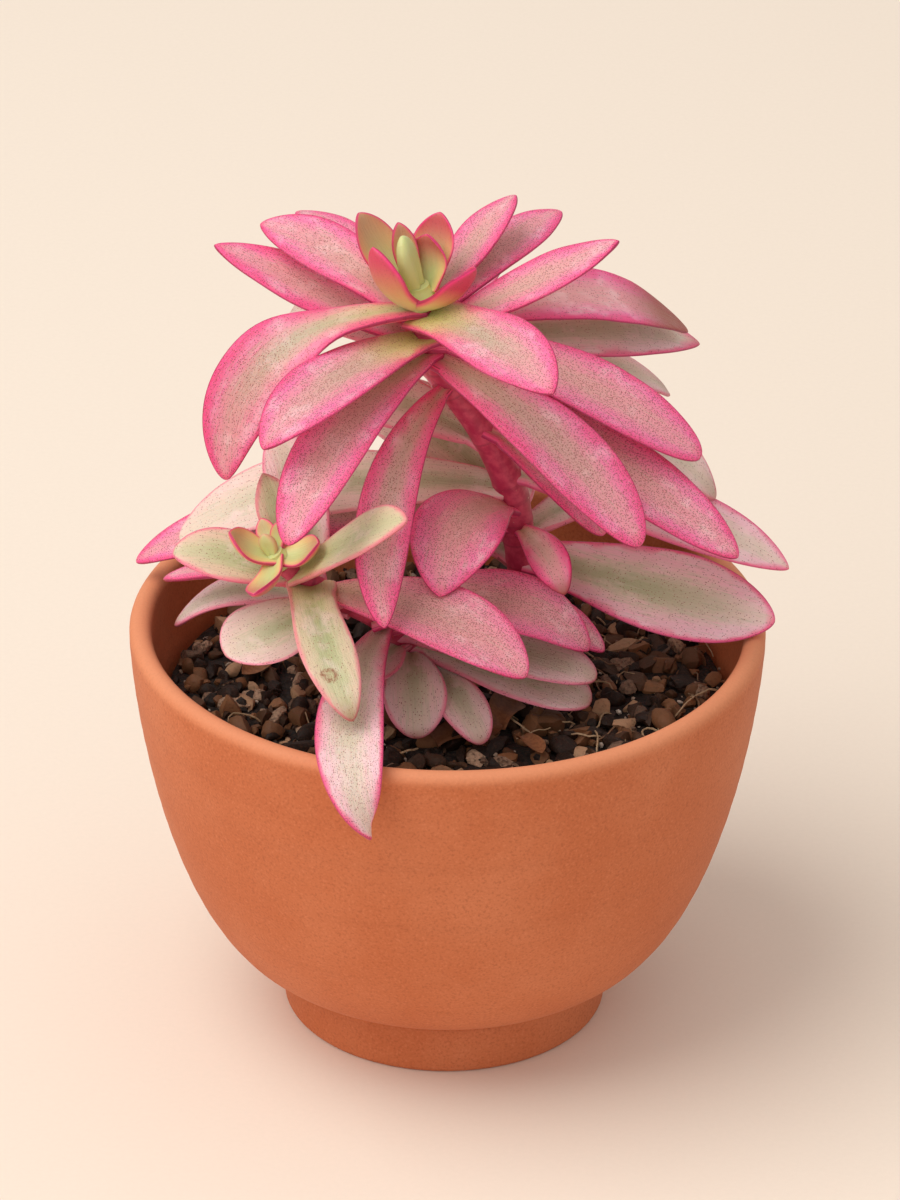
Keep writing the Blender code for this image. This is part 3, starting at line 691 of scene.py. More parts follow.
def stem_form(name):
    """A stem's tube, swollen at its joints, with how near a joint each point is as its mark."""
    rings, joints = [], []
    side = Vector((1.0, 0.0, 0.0))
    for step in range(SPAN_STEPS * (len(STEMS[name]) - 1) + 1):
        centre, along, radius = stem_point(name, step / SPAN_STEPS)
        side = (side - side.dot(along) * along).normalized()
        across = along.cross(side)
        joint = joint_at(name, centre.z)
        ring = []
        for i in range(STEM_SIDES):
            turn = math.tau * i / STEM_SIDES
            way = (LUMPS_ROUND * math.cos(turn), LUMPS_ROUND * math.sin(turn))
            lump = noise.noise(Vector((*way, centre.z / LUMP_LENGTH)))
            reach = radius * (1.0 + JOINT_SWELL * joint + LUMP_SHARE * lump - LUMP_SHARE)
            ring.append(centre + reach * (math.cos(turn) * side + math.sin(turn) * across))
        rings.append(ring)
        joints += [(joint, 0.0, 0.0)] * STEM_SIDES
    return (*loft(rings), {"joint": joints})


print("how near a joint the main stem's foot is:", round(joint_at("main", STEMS["main"][0][2]), 3))

# %% Stem finish and pieces
STEM_WINE = srgb(184, 44, 84)
STEM_PINK = srgb(214, 80, 110)
STEM_RUST = srgb(160, 58, 66)
JOINT_DARK = srgb(112, 30, 52)
FLAKE_PALE = srgb(226, 176, 160)


def stem_finish():
    stem = Recipe("stem_skin")
    place = stem.place()
    _, joint, _, _ = stem.marks("joint")
    streak = stem.cloud(place, 420.0, 3.0, 0.6)
    patch = stem.cloud(place, 150.0, 3.0)
    flake = stem.cloud(place, 900.0, 2.0)
    colour = stem.blend(stem.fade(streak, 0.35, 0.7), STEM_WINE, STEM_PINK)
    colour = stem.blend(stem.fade(patch, 0.5, 0.75, 0.0, 0.5), colour, STEM_RUST)
    colour = stem.blend(stem.fade(joint, 0.75, 1.0, 0.0, 0.35), colour, JOINT_DARK)
    colour = stem.blend(stem.fade(flake, 0.72, 0.80, 0.0, 0.6), colour, FLAKE_PALE)
    return stem.finish(
        colour, stem.bump(streak, 0.06 * MM),
        roughness=0.45, glow=0.12, glow_radius=(1.0, 0.3, 0.2), glow_depth=1.5 * MM,
    )


stem_skin = stem_finish()
for stem_name in STEMS:
    node = f"{stem_name}_stem"
    tube = make_piece(f"{node}_flesh", stem_form(stem_name), stem_skin, [node])
    print(tube.name, len(tube.data.polygons), "faces")

# %% [markdown]
# ## The form of a leaf
#
# A leaf is a fleshy tongue: a broad clasping base, almost parallel sides, a blunt tip with a small point,
# and some two millimetres of flesh that thin to a rounded margin. It is lofted from rings along a curved
# midline. The upper side has a shallow channel that fades towards the tip, and a slow noise makes the
# face and the margin a little uneven, as in life. Each ring's points also get their marks.

# %% Outline and section of a leaf
HALF_SIDES = 12
WIDEST_POWER = 1.6
WIDEST_PULL = 0.6
BLUNT = 0.5
PLAIN = 0.6
POINTED = 0.76
TWIST_FROM = 0.2
TWIST_TO = 0.65


def leaf_breadth(u, base, ending):
    """The leaf's outline: its share of the full width at u, from the seat at 0 to the tip at 1.

    A leaf with a pointed ending is widest near its middle, and a blunt one is widest further out.
    """
    blade = math.sin(math.pi * u ** (WIDEST_POWER - WIDEST_PULL * ending)) ** ending
    root = base * (1.0 - u) ** 2
    return root + (1.0 - root) * blade


def twisted(u):
    """How much of a leaf's twist is done at u, all of it between TWIST_FROM and TWIST_TO."""
    share = max(0.0, min(1.0, (u - TWIST_FROM) / (TWIST_TO - TWIST_FROM)))
    return share * share * (3.0 - 2.0 * share)


def bezier(points, u):
    """Place and direction at u on the curve from the first control point to the last."""
    a, b, c, d = points
    w = 1.0 - u
    place = w ** 3 * a + 3 * w * w * u * b + 3 * w * u * u * c + u ** 3 * d
    slope = 3 * w * w * (b - a) + 6 * w * u * (c - b) + 3 * u * u * (d - c)
    return place, slope.normalized()


def section():
    """Places across one ring: (v, face), along the upper side and back along the lower side."""
    upper = [(-math.cos(math.pi * k / HALF_SIDES), 1.0) for k in range(HALF_SIDES + 1)]
    lower = [(v, -1.0) for v, _ in reversed(upper[1:-1])]
    return upper + lower


print("points in a leaf's ring:", len(section()))

# %% Leaf form
STATIONS = 44
TIP_CROWDING = 1.55
TIP_THINNING = 0.45
TIP_ROUND = 0.8
TIP_SHARE = 0.994
SECTION_POWER = 2.5
CHANNEL = 0.20
CHANNEL_WIDTH = 0.3
UNEVEN = 0.35
UNEVEN_MIDDLE = 0.35
STEADY_END = 4.0
WAVE_LENGTH = 11.0
WAVE_WIDTH = 8.0
SPREAD = 97.0
MEASURING_STEPS = 20
TIP_PACE = 0.7
TIP_MARGIN = 0.3
SUNK_RINGS = [-1.0, -0.5]
NO_MARK = (0.0, 0.0, 0.0)

# A leaf's shape: width, how far its edges are lifted, its share of the width at the seat, its thickness,
# how far its face turns from seat to tip, the power of its outline, and how far its base runs on inwards
Shape = namedtuple("Shape", "width cup base thickness twist ending sunk", defaults=(2.2, 0.0, PLAIN, 0.0))


def line_length(line):
    """A midline's length, measured over short straight steps."""
    stops = [bezier(line, i / MEASURING_STEPS)[0] for i in range(MEASURING_STEPS + 1)]
    return sum((end - start).length for start, end in zip(stops, stops[1:]))


def ring_places(shape):
    """Where a leaf's rings lie along it, closer near the tip, with two before the seat if it is sunk."""
    before = SUNK_RINGS if shape.sunk else []
    return before + [1.0 - (1.0 - i / STATIONS) ** TIP_CROWDING for i in range(STATIONS)]


def thickness_at(u, length, shape):
    """A leaf's thickness at u, which thins towards the tip and is rounded off in the last stretch."""
    before_tip = min(1.0, (1.0 - u) * length / (TIP_ROUND * shape.thickness))
    return shape.thickness * (1.0 - TIP_THINNING * u) * math.sqrt(1.0 - (1.0 - before_tip) ** 2)


def lift_at(u, v, face, half, thick, cup):
    """How far the skin stands off the midline's plane: the lifted edges, the flesh and the channel."""
    round_off = math.sqrt(max(0.0, 1.0 - abs(v) ** SECTION_POWER))
    lift = cup * half * v * v + face * 0.5 * thick * round_off
    if face > 0:
        lift -= CHANNEL * thick * math.exp(-(v / CHANNEL_WIDTH) ** 2) * (1.0 - u)
    return lift


def uneven_at(u, v, half, length, seed):
    """The slow unevenness of the skin, more of it at the margin and none at the two ends."""
    wave = noise.noise(Vector((seed * SPREAD, u * length / WAVE_LENGTH, v * half / WAVE_WIDTH)))
    return UNEVEN * wave * (UNEVEN_MIDDLE + v * v) * min(1.0, STEADY_END * u, STEADY_END * (1.0 - u))


def to_margin(u, v, half, length):
    """About how many millimetres a point is from the margin, sideways or past the tip."""
    return min(half * (1.0 - abs(v)), TIP_PACE * length * (1.0 - u) + TIP_MARGIN)


def leaf_form(line, normal, shape, looks, seed):
    """Points, faces and marks of one leaf."""
    line = (*line[:3], line[2].lerp(line[3], TIP_SHARE))
    rings, blade, spot = [], [], []
    length = line_length(line)
    for u in ring_places(shape):
        place, along = bezier(line, max(u, 0.0))
        if u < 0:
            place = place + u * shape.sunk * along
        u = max(u, 0.0)
        up = (normal - normal.dot(along) * along).normalized()
        up = Matrix.Rotation(math.radians(shape.twist * twisted(u)), 3, along) @ up
        side = along.cross(up)
        half = 0.5 * shape.width * leaf_breadth(u, shape.base, shape.ending)
        thick = thickness_at(u, length, shape)
        ring = []
        for v, face in section():
            lift = lift_at(u, v, face, half, thick, shape.cup) + uneven_at(u, v, half, length, seed)
            ring.append(place + side * (half * v) + up * lift)
            blade.append((v, u, face))
            spot.append((half * v + SPREAD * seed, u * length, to_margin(u, v, half, length)))
        rings.append(ring)
    points, faces = loft(rings, line[3])
    blade.append((0.0, 1.0, 1.0))
    spot.append((SPREAD * seed, length, 0.0))
    habit, wear, scar = looks
    scar = (scar[0] + SPREAD * seed, scar[1], scar[2])
    whole = {"habit": habit, "wear": wear, "scar": scar}
    marks = {name: [value] * len(points) for name, value in whole.items()}
    return points, faces, {"blade": blade, "spot": spot, **marks}


print("rings in a leaf:", len(ring_places(Shape(12.0, 0.0, 0.4, sunk=3.0))))

# %% [markdown]
# ## The big leaves
#
# Each row places one leaf as the CAD does: the level of its seat on its stem, its tip, how it bows, its
# width and its roll. Leaves high in the sun are pink and dotted, and shaded ones low down are cream and
# green.

# %% Rows of leaves
P, C, G = "pink_leaf", "cream_leaf", "green_leaf"

# name: (level, tip, (rise, droop), width, roll, slot, then any of base, ending, twist, sway and far)
LEAVES = {
    "crown_leaf_01": (140.6, (-44.0, 14.0, 152.5), (-1, 1), 11.5, -16, P, {"ending": POINTED}),
    "crown_leaf_02": (145.2, (-35.5, 18.0, 155.0), (3, 4), 12.5, -18, P, {"ending": 0.7}),
    "crown_leaf_03": (143.4, (-29.5, 42.0, 146.0), (2, 5), 10.0, -5, P, {"ending": POINTED}),
    "crown_leaf_04": (135.8, (-30.0, 26.0, 133.0), (4, 5), 12.0, -25, C, {"base": 0.3, "ending": BLUNT}),
    "crown_leaf_05": (147.2, (-41.0, -14.0, 118.0), (15, 18), 14.0, 0, P, {"twist": -58.0}),
    "crown_leaf_06": (141.6, (-33.5, -36.0, 135.8), (3.6, 5.6), 14.5, -7, P, {"base": 0.5, "ending": 0.66}),
    "crown_leaf_07": (138.6, (-29.0, -42.0, 119.5), (7, 8), 13.0, -10, P, {"ending": 0.54, "sway": 1.0}),
    "crown_leaf_08": (131.0, (-11.5, -36.0, 99.3), (7.5, 4.6), 10.5, -15, P, {"base": 0.3, "sway": 5.0}),
    "crown_leaf_09": (146.0, (18.5, -36.0, 147.5), (3, 4.5), 14.0, 20, P, {"base": 0.7, "ending": 0.64}),
    "crown_leaf_10": (138.8, (46.5, -8.0, 120.5), (7, 3.5), 13.5, 24, P, {"base": 0.3, "ending": BLUNT}),
    "crown_leaf_11": (135.8, (35.0, -28.0, 112.5), (5, 6), 14.0, 22, P, {"ending": 0.54}),
    "crown_leaf_12": (133.6, (53.5, -18.0, 105.0), (2, 3), 14.0, 26, P, {"base": 0.3}),
    "crown_leaf_13": (130.4, (50.0, 6.0, 104.5), (7, 9), 13.0, 30, C, {"base": 0.3}),
    "crown_leaf_14": (143.0, (31.0, 8.0, 157.0), (-2, 0), 10.6, 14, P, {"base": 0.3, "ending": POINTED}),
    "crown_leaf_15": (147.0, (12.0, 22.0, 159.5), (-1, 2), 10.5, -8, P, {"base": 0.3, "ending": POINTED}),
    "crown_leaf_16": (144.7, (20.5, 30.0, 152.5), (1, 3), 11.0, 4, P, {"base": 0.3, "ending": 0.66}),
    "crown_leaf_17": (141.0, (45.0, 32.0, 126.5), (9, 9), 14.0, 24, P, {"base": 0.25, "ending": POINTED}),
    "crown_leaf_18": (136.4, (47.5, 36.0, 122.0), (3.5, 4.5), 13.0, 34, C, {"base": 0.3, "ending": POINTED}),
    "crown_leaf_19": (129.0, (41.5, 30.0, 114.5), (5, 7), 13.0, 16, C, {"base": 0.3, "ending": BLUNT}),
    "crown_leaf_20": (138.4, (-7.0, 49.0, 138.0), (4, 7), 12.0, 0, P, {"base": 0.3}),
    "crown_leaf_21": (134.0, (5.0, 52.0, 127.0), (7, 9), 13.0, 0, P, {}),
    "crown_leaf_22": (131.2, (-22.0, 44.0, 119.0), (8, 10), 13.0, 0, C, {}),
    "crown_leaf_23": (127.6, (24.0, 48.0, 111.0), (6, 9), 13.0, 0, C, {"base": 0.3}),
    "trunk_leaf_01": (118.5, (29.0, -4.0, 102.0), (3, 4), 12.0, 20, P, {"base": 0.3}),
    "trunk_leaf_02": (118.5, (-22.0, 14.0, 121.0), (3, 4), 12.0, -30, C, {"base": 0.3}),
    "trunk_leaf_03": (104.6, (-18.0, 32.0, 113.5), (4, 4), 15.0, -30, C, {}),
    "trunk_leaf_04": (104.6, (-1.5, -26.0, 100.5), (8, 8), 17.0, -12, P,
                     {"base": 0.22, "ending": 0.66, "sway": 2.5}),
    "trunk_leaf_05": (98.6, (21.8, -13.0, 94.2), (2.5, 3.5), 7.5, 34, P, {}),
    "trunk_leaf_06": (90.4, (61.5, -5.0, 84.5), (0, -1), 18.0, 34, C, {}),
    "trunk_leaf_07": (108.2, (64.0, 0.0, 93.0), (3, 4), 13.0, 30, C, {"base": 0.3, "ending": 0.7}),
    "trunk_leaf_08": (108.0, (-51.0, 10.0, 92.5), (6, 10), 15.0, -30, C, {}),
    "trunk_leaf_09": (99.0, (-59.5, 15.0, 85.0), (6, 10), 13.0, -25, P, {}),
    "trunk_leaf_10": (100.0, (12.0, 52.0, 88.0), (7, 8), 14.0, 0, C, {}),
    "trunk_leaf_11": (95.0, (42.0, 38.0, 86.0), (5, 6), 14.0, 0, C, {}),
    "trunk_leaf_12": (90.0, (-22.0, 46.0, 84.0), (6, 8), 14.0, 0, C, {}),
    "trunk_leaf_13": (95.4, (-36.0, 36.0, 92.0), (4, 6), 14.0, 0, C, {"base": 0.3}),
    "branch_leaf_01": (101.4, (-34.5, -8.0, 116.5), (-1, 1), 8.0, -20, G, {"base": 0.3, "ending": POINTED}),
    "branch_leaf_02": (101.4, (-7.4, -39.0, 123.3), (0, 2), 10.5, 42, G, {"base": 0.6}),
    "branch_leaf_03": (100.0, (-51.0, -14.0, 102.8), (1, 3), 12.5, -20, G, {"base": 0.2}),
    "branch_leaf_04": (99.0, (-17.0, -53.0, 89.5), (5, 6), 10.5, 0, G, {"base": 0.9, "sway": 2.5}),
    "branch_leaf_05": (95.0, (-41.0, -27.0, 88.5), (0, -1), 17.0, -10, C, {"base": 0.25, "ending": BLUNT}),
    "branch_leaf_06": (98.4, (-53.5, 2.0, 88.5), (3, 3), 7.0, -10, P, {}),
    "branch_leaf_07": (92.6, (-51.5, 2.0, 78.5), (7, 7), 9.0, -20, C, {}),
    "branch_leaf_08": (97.6, (-32.5, 5.0, 119.0), (3, 3), 11.0, -20, C, {"base": 0.3}),
    "branch_leaf_09": (96.4, (14.5, -38.0, 90.5), (5, 7), 16.0, 15, P, {"base": 0.3}),
    "branch_leaf_10": (82.0, (-19.0, -26.0, 82.0), (0, 0), 12.0, 0, C, {"base": 0.3}),
    "branch_leaf_11": (88.0, (26.5, -14.0, 83.0), (8, 10), 15.0, 20, P, {}),
    "branch_leaf_12": (85.2, (29.5, -9.0, 80.0), (6, 9), 13.0, 15, P, {}),
    "branch_leaf_13": (82.0, (28.0, -14.0, 77.0), (2, 2), 12.5, 18, C, {"base": 0.3, "ending": BLUNT}),
    "branch_leaf_14": (78.4, (27.0, -14.0, 71.5), (1, 2), 13.0, 22, C, {"base": 0.3, "ending": BLUNT}),
    "branch_leaf_15": (79.4, (-5.5, -26.0, 70.5), (4, 4), 12.0, 0, C, {"base": 0.3, "ending": BLUNT}),
    "branch_leaf_16": (75.6, (6.5, -27.5, 70.2), (3, 3), 10.0, 0, C, {"base": 0.3, "ending": BLUNT}),
    "branch_leaf_17": (87.0, (-13.5, -65.5, 72.0), (5, 21), 12.5, 0, C,
                     {"base": 0.3, "ending": 0.66, "sway": 6.0, "far": 1.03}),
}
print(len(LEAVES), "rows,", sum(row[5] == P for row in LEAVES.values()), "of them pink")

# %% The line of a leaf
SEAT_REACH = 0.75
NEAR = 0.33
FAR = 0.70
STEM_OF = {"crown": "main", "trunk": "main", "branch": "side"}


def leaf_line(stem, level, tip, bows, roll, sway, far):
    """Control points of a leaf's midline and the normal of its upper face."""
    centre, along, radius = stem_at(stem, level)
    tip = Vector(tip)
    towards = tip - centre
    out = (towards - towards.dot(along) * along).normalized()
    seat = centre + out * (radius + SEAT_REACH)
    chord = (tip - seat).normalized()
    up = Vector((0.0, 0.0, 1.0))
    up = (up - up.dot(chord) * chord).normalized()
    side = chord.cross(up)
    near = seat.lerp(tip, NEAR) + bows[0] * up + sway * side
    farther = seat.lerp(tip, far) + bows[1] * up + sway * side
    return (seat, near, farther, tip), Matrix.Rotation(math.radians(roll), 3, chord) @ up


for rosette, stem_name in STEM_OF.items():
    print(rosette, "leaves sit on the", stem_name, "stem")

# %% [markdown]
# ## The habit of each leaf
#
# No two leaves are coloured alike. Blush is how pink the face is, stripe is how green its middle is, and
# specks is how thick the fine dots lie. Wear says how far fresh green glows from the base, how far a dry
# brown has crept in from the tip, and how many millimetres wide the pink margin is. One leaf of the side
# branch carries a healed brown spot. Leaves without a row of their own take their palette's usual numbers.

# %% Habits
USUAL = {
    "pink_leaf": ((0.95, 0.40, 0.80), (0.15, 0.0, 1.1)),
    "cream_leaf": ((0.55, 0.85, 0.12), (0.0, 0.12, 0.5)),
    "green_leaf": ((0.50, 0.80, 0.05), (0.35, 0.15, 0.4)),
}

# name: ((blush, stripe, specks), (glow, dry, margin))
OWN = {
    "crown_leaf_01": ((1.0, 0.25, 0.5), (0.1, 0.0, 1.8)),
    "crown_leaf_02": ((1.0, 0.25, 0.7), (0.1, 0.0, 1.0)),
    "crown_leaf_04": ((0.5, 0.2, 0.3), (0.0, 0.1, 0.4)),
    "crown_leaf_05": ((0.8, 0.9, 0.5), (0.5, 0.0, 1.8)),
    "crown_leaf_06": ((0.95, 0.6, 0.9), (0.9, 0.0, 1.1)),
    "crown_leaf_07": ((1.0, 0.45, 0.8), (0.3, 0.0, 1.3)),
    "crown_leaf_08": ((0.85, 0.5, 0.8), (0.2, 0.0, 1.9)),
    "crown_leaf_09": ((0.9, 0.9, 1.0), (0.9, 0.0, 1.5)),
    "crown_leaf_10": ((0.95, 0.2, 1.1), (0.2, 0.0, 1.1)),
    "crown_leaf_11": ((1.0, 0.5, 1.0), (0.2, 0.0, 1.8)),
    "crown_leaf_12": ((0.95, 0.3, 1.0), (0.2, 0.0, 1.2)),
    # crown_leaf_17's dry number browns its outer half: partly the leaf's own colour, partly painted shade for
    # a leaf turned from the light
    "crown_leaf_17": ((0.9, 0.1, 0.2), (0.1, 0.34, 2.0)),
    "crown_leaf_18": ((0.7, 0.9, 0.1), (0.1, 0.1, 1.4)),
    "trunk_leaf_03": ((0.2, 1.0, 0.05), (0.0, 0.05, 0.3)),
    "trunk_leaf_05": ((0.7, 0.6, 0.2), (0.3, 0.2, 1.0)),
    "trunk_leaf_06": ((1.0, 0.95, 0.15), (0.0, 0.0, 0.9)),
    "trunk_leaf_07": ((1.0, 0.3, 0.1), (0.0, 0.0, 0.7)),
    "trunk_leaf_08": ((0.25, 0.95, 0.05), (0.0, 0.0, 0.3)),
    "branch_leaf_02": ((0.4, 0.5, 0.05), (0.4, 0.0, 0.5)),
    "branch_leaf_03": ((0.7, 0.6, 0.1), (0.1, 0.05, 0.6)),
    "branch_leaf_05": ((0.35, 1.0, 0.1), (0.3, 0.05, 0.4)),
    "branch_leaf_09": ((0.55, 0.35, 1.1), (0.3, 0.0, 0.8)),
    "branch_leaf_11": ((0.75, 0.3, 0.9), (0.1, 0.0, 0.8)),
    "branch_leaf_12": ((0.7, 0.3, 0.9), (0.1, 0.0, 0.8)),
    "branch_leaf_17": ((0.9, 0.35, 0.4), (0.0, 0.0, 0.9)),
}
SCARS = {"branch_leaf_04": (1.2, 27.0, 0.8)}
print(len(OWN), "leaves with a habit of their own,", len(SCARS), "with a healed spot")

# %% Place the leaves
CUP = 0.15
BASE = 0.42
SINK = 3.0
BLADE_CREASE = 75.0


def add_leaf(name, seed):
    """Makes one leaf from its row, with its own habit if it has one."""
    level, tip, bows, width, roll, slot, extra = LEAVES[name]
    stem = STEM_OF[name.split("_")[0]]
    line, normal = leaf_line(stem, level, tip, bows, roll, extra.get("sway", 0.0), extra.get("far", FAR))
    twist, ending = extra.get("twist", 0.0), extra.get("ending", PLAIN)
    shape = Shape(width, CUP, extra.get("base", BASE), twist=twist, ending=ending, sunk=SINK)
    looks = (*OWN.get(name, USUAL[slot]), SCARS.get(name, NO_MARK))
    form = leaf_form(line, normal, shape, looks, seed)
    return make_piece(f"{name}_blade", form, leaf_finishes[slot], [name], BLADE_CREASE)


for number, leaf_name in enumerate(LEAVES):
    add_leaf(leaf_name, number + 1)
print(len(LEAVES), "leaves")

# %% [markdown]
# ## The buds
#
# At each growing tip the youngest leaves stand close together and bow towards the tip. They are the
# yellow-green of fresh growth, flushed orange outside, and their points and margins have turned red. The
# same loft makes them, shorter and thick for their size, and they stay in one piece for each tip because
# they are pressed together there.

# %% Bud finish
YOUNG_GREEN = srgb(204, 210, 142)
YOUNG_YELLOW = srgb(232, 206, 136)
YOUNG_ORANGE = srgb(222, 118, 92)
YOUNG_RED = srgb(206, 62, 88)


def bud_finish():
    bud = Recipe("young_leaf_skin")
    _, across, along, face = bud.marks("blade")
    spot, _, _, rim = bud.marks("spot")
    _, blush, _, specks = bud.marks("habit")
    streak = bud.cloud(bud.stretch(spot, (1.6, 0.2, 0.0)), 1.0, 3.0, 0.6)
    wide = bud.plus(bud.maths("ABSOLUTE", across), bud.times(streak, 0.4))
    yellow = bud.times(bud.fade(wide, 0.35, 1.1), bud.fade(blush, 0.0, 0.4, 0.15, 1.0))
    colour = bud.blend(yellow, YOUNG_GREEN, YOUNG_YELLOW)
    outside = bud.times(bud.fade(face, 0.0, -1.0, 0.0, 0.5), bud.fade(along, 0.1, 0.5))
    colour = bud.blend(bud.times(outside, blush), colour, YOUNG_ORANGE)
    red = bud.plus(bud.fade(along, 0.30, 0.90), bud.fade(wide, 0.8, 1.4, 0.0, 0.3))
    colour = bud.blend(bud.times(red, blush), colour, YOUNG_RED)
    margin = bud.fade(blush, 0.0, 0.3)
    colour = bud.blend(bud.times(bud.fade(rim, 0.7, 0.1, 0.0, 0.85), margin), colour, MARGIN_PINK)
    colour = bud.blend(bud.times(bud.fade(rim, 0.22, 0.03, 0.0, 0.6), margin), colour, MARGIN_DARK)
    dots = bud.fade(bud.cells(spot, 1.7)["Distance"], 0.30, 0.14)
    colour = bud.blend(bud.times(bud.times(dots, specks), bud.fade(along, 0.2, 0.9)), colour, WINE_DOT)
    return bud.finish(
        colour, bud.bump(streak, 0.15 * MM),
        roughness=0.42, glow=0.2, glow_radius=(0.9, 0.6, 0.25), glow_depth=1.5 * MM,
    )


young_skin = bud_finish()
print("finish:", young_skin.name)

# %% Rows of buds
# foot of the core, the way it grows, its radius and height, then its young leaves:
# root, tip, bow, width, cup, thickness and blush
BUDS = {
    "crown_bud": (
        (-5.5, -0.4, 147.5), (-0.16, -0.08, 1.0), 3.2, 4.5,
        (
            ((-6.4, 0.8, 149.4), (-17.1, 6.0, 163.2), -3.0, 9.0, 0.35, 1.9, 0.5),
            ((-7.4, -2.2, 148.4), (-14.1, -5.0, 161.5), -3.2, 10.5, 0.5, 1.9, 1.0),
            ((-4.6, 0.4, 149.6), (-4.6, 3.5, 160.2), -2.2, 10.5, 0.5, 1.9, 0.8),
            ((-5.0, 1.0, 149.8), (-2.1, 8.0, 162.6), -2.0, 9.0, 0.35, 1.9, 0.9),
            ((-5.6, -2.4, 148.4), (4.4, -7.0, 158.5), -3.0, 8.5, 0.6, 1.9, 1.3),
            ((-6.6, 0.8, 150.6), (-9.8, 4.0, 162.3), -1.0, 5.0, 0.35, 1.9, 0.6),
            ((-6.6, -0.6, 150.4), (-9.0, -1.0, 161.9), 0.0, 6.0, 0.0, 4.4, 0.0),
        ),
    ),
    "branch_bud": (
        (-30.8, -19.8, 103.9), (-0.45, -0.25, 0.9), 2.6, 3.4,
        (
            ((-31.4, -20.6, 105.2), (-40.2, -22.0, 111.6), -2.0, 8.0, 0.35, 1.9, 0.4),
            ((-31.0, -20.8, 105.4), (-23.7, -24.5, 110.9), -2.0, 7.5, 0.35, 1.9, 0.5),
            ((-31.6, -21.0, 105.2), (-35.3, -36.0, 106.2), -2.0, 6.5, 0.5, 1.9, 0.7),
            ((-31.8, -19.6, 105.4), (-34.6, -14.6, 110.6), -0.6, 4.0, 0.35, 1.9, 0.3),
            ((-31.2, -19.8, 105.8), (-31.4, -17.4, 111.4), -0.6, 3.6, 0.35, 1.9, 0.3),
            ((-32.0, -20.4, 105.8), (-34.0, -20.8, 110.6), 0.0, 3.4, 0.0, 2.6, 0.1),
        ),
    ),
    "back_bud": (
        (9.6, 9.6, 113.5), (0.1, 0.6, 0.8), 1.8, 3.0,
        (
            ((9.5, 11.3, 115.0), (5.6, 15.0, 122.4), -1.5, 5.5, 0.35, 1.9, 0.1),
            ((10.2, 11.7, 115.5), (11.4, 16.4, 123.6), -1.5, 5.5, 0.35, 1.9, 0.1),
            ((10.1, 10.9, 114.6), (17.0, 14.5, 117.0), -1.5, 5.5, 0.35, 1.9, 0.1),
        ),
    ),
}
print("young leaves:", {name: len(row[4]) for name, row in BUDS.items()})

# %% Form and place the buds
BUD_FOCUS = 10.0
YOUNG_BASE = 0.6
YOUNG_ENDING = 0.62
CORE_STEPS = 12
CORE_SIDES = 24
CORE_ENDS = 0.7
CORE_BULGE = 0.3
BULGE_FROM = 0.2
BULGE_PACE = 0.9
CORE_DEPTH = 9.0
FIRST_BUD_SEED = 60


def young_line(root, tip, bow, foot, axis):
    """Control points of a young leaf's midline, bowed away from the bud's axis, and its inward normal."""
    chord = (tip - root).normalized()
    inward = foot + axis * BUD_FOCUS - root.lerp(tip, 0.5)
    inward = (inward - inward.dot(chord) * chord).normalized()
    return (root, root.lerp(tip, NEAR) + bow * inward, root.lerp(tip, FAR) + bow * inward, tip), inward


def core_form(foot, axis, radius, height):
    """The short stem end that the young leaves stand on, which narrows towards its top."""
    side = axis.orthogonal().normalized()
    across = axis.cross(side)
    turns = [math.tau * i / CORE_SIDES for i in range(CORE_SIDES)]
    rings = []
    for step in range(CORE_STEPS + 1):
        share = step / CORE_STEPS
        bulge = math.sin(math.pi * min(1.0, BULGE_FROM + BULGE_PACE * share))
        wide = radius * (CORE_ENDS + CORE_BULGE * bulge)
        middle = foot + share * height * axis
        rings.append([middle + wide * (math.cos(t) * side + math.sin(t) * across) for t in turns])
    points, faces = loft(rings)
    marks = {name: [NO_MARK] * len(points) for name in ("habit", "wear", "scar")}
    marks["blade"] = [(0.0, 0.1, 1.0)] * len(points)
    marks["spot"] = [(p.x, p.z, CORE_DEPTH) for p in points]
    return points, faces, marks


def add_bud(name, seed):
    """Makes one bud: its core and its young leaves as one piece."""
    foot, axis, radius, height, young = BUDS[name]
    foot, axis = Vector(foot), Vector(axis).normalized()
    forms = [core_form(foot, axis, radius, height)]
    for i, (root, tip, bow, width, cup, thickness, blush) in enumerate(young):
        line, inward = young_line(Vector(root), Vector(tip), bow, foot, axis)
        shape = Shape(width, cup, YOUNG_BASE, thickness, ending=YOUNG_ENDING)
        looks = ((blush, 0.5, 0.3 * blush), (0.0, 0.0, 1.0), NO_MARK)
        forms.append(leaf_form(line, inward, shape, looks, seed + 0.1 * i))
    return make_piece(f"{name}_leaves", gather(forms), young_skin, [name], BLADE_CREASE)


for number, bud_name in enumerate(BUDS):
    print(add_bud(bud_name, FIRST_BUD_SEED + number).name)

# %% [markdown]
# ## Soil
#
# The mix is dark and open: crumbs of bark and peat, tan pumice stones, white specks of perlite, pale
# fibres and a few fallen leaves. The frame's soil solid stays and gets a dark, crumbly finish. On it lie
# loose grains, each a small ball with flats cut from it, which is how broken stone and bark look. They
# are joined into a few meshes, because thousands of objects would slow everything down.

# %% Soil finish
SOIL_BLACK = srgb(22, 14, 10)
SOIL_BROWN = srgb(58, 38, 25)
SOIL_PATCH = srgb(78, 52, 35)


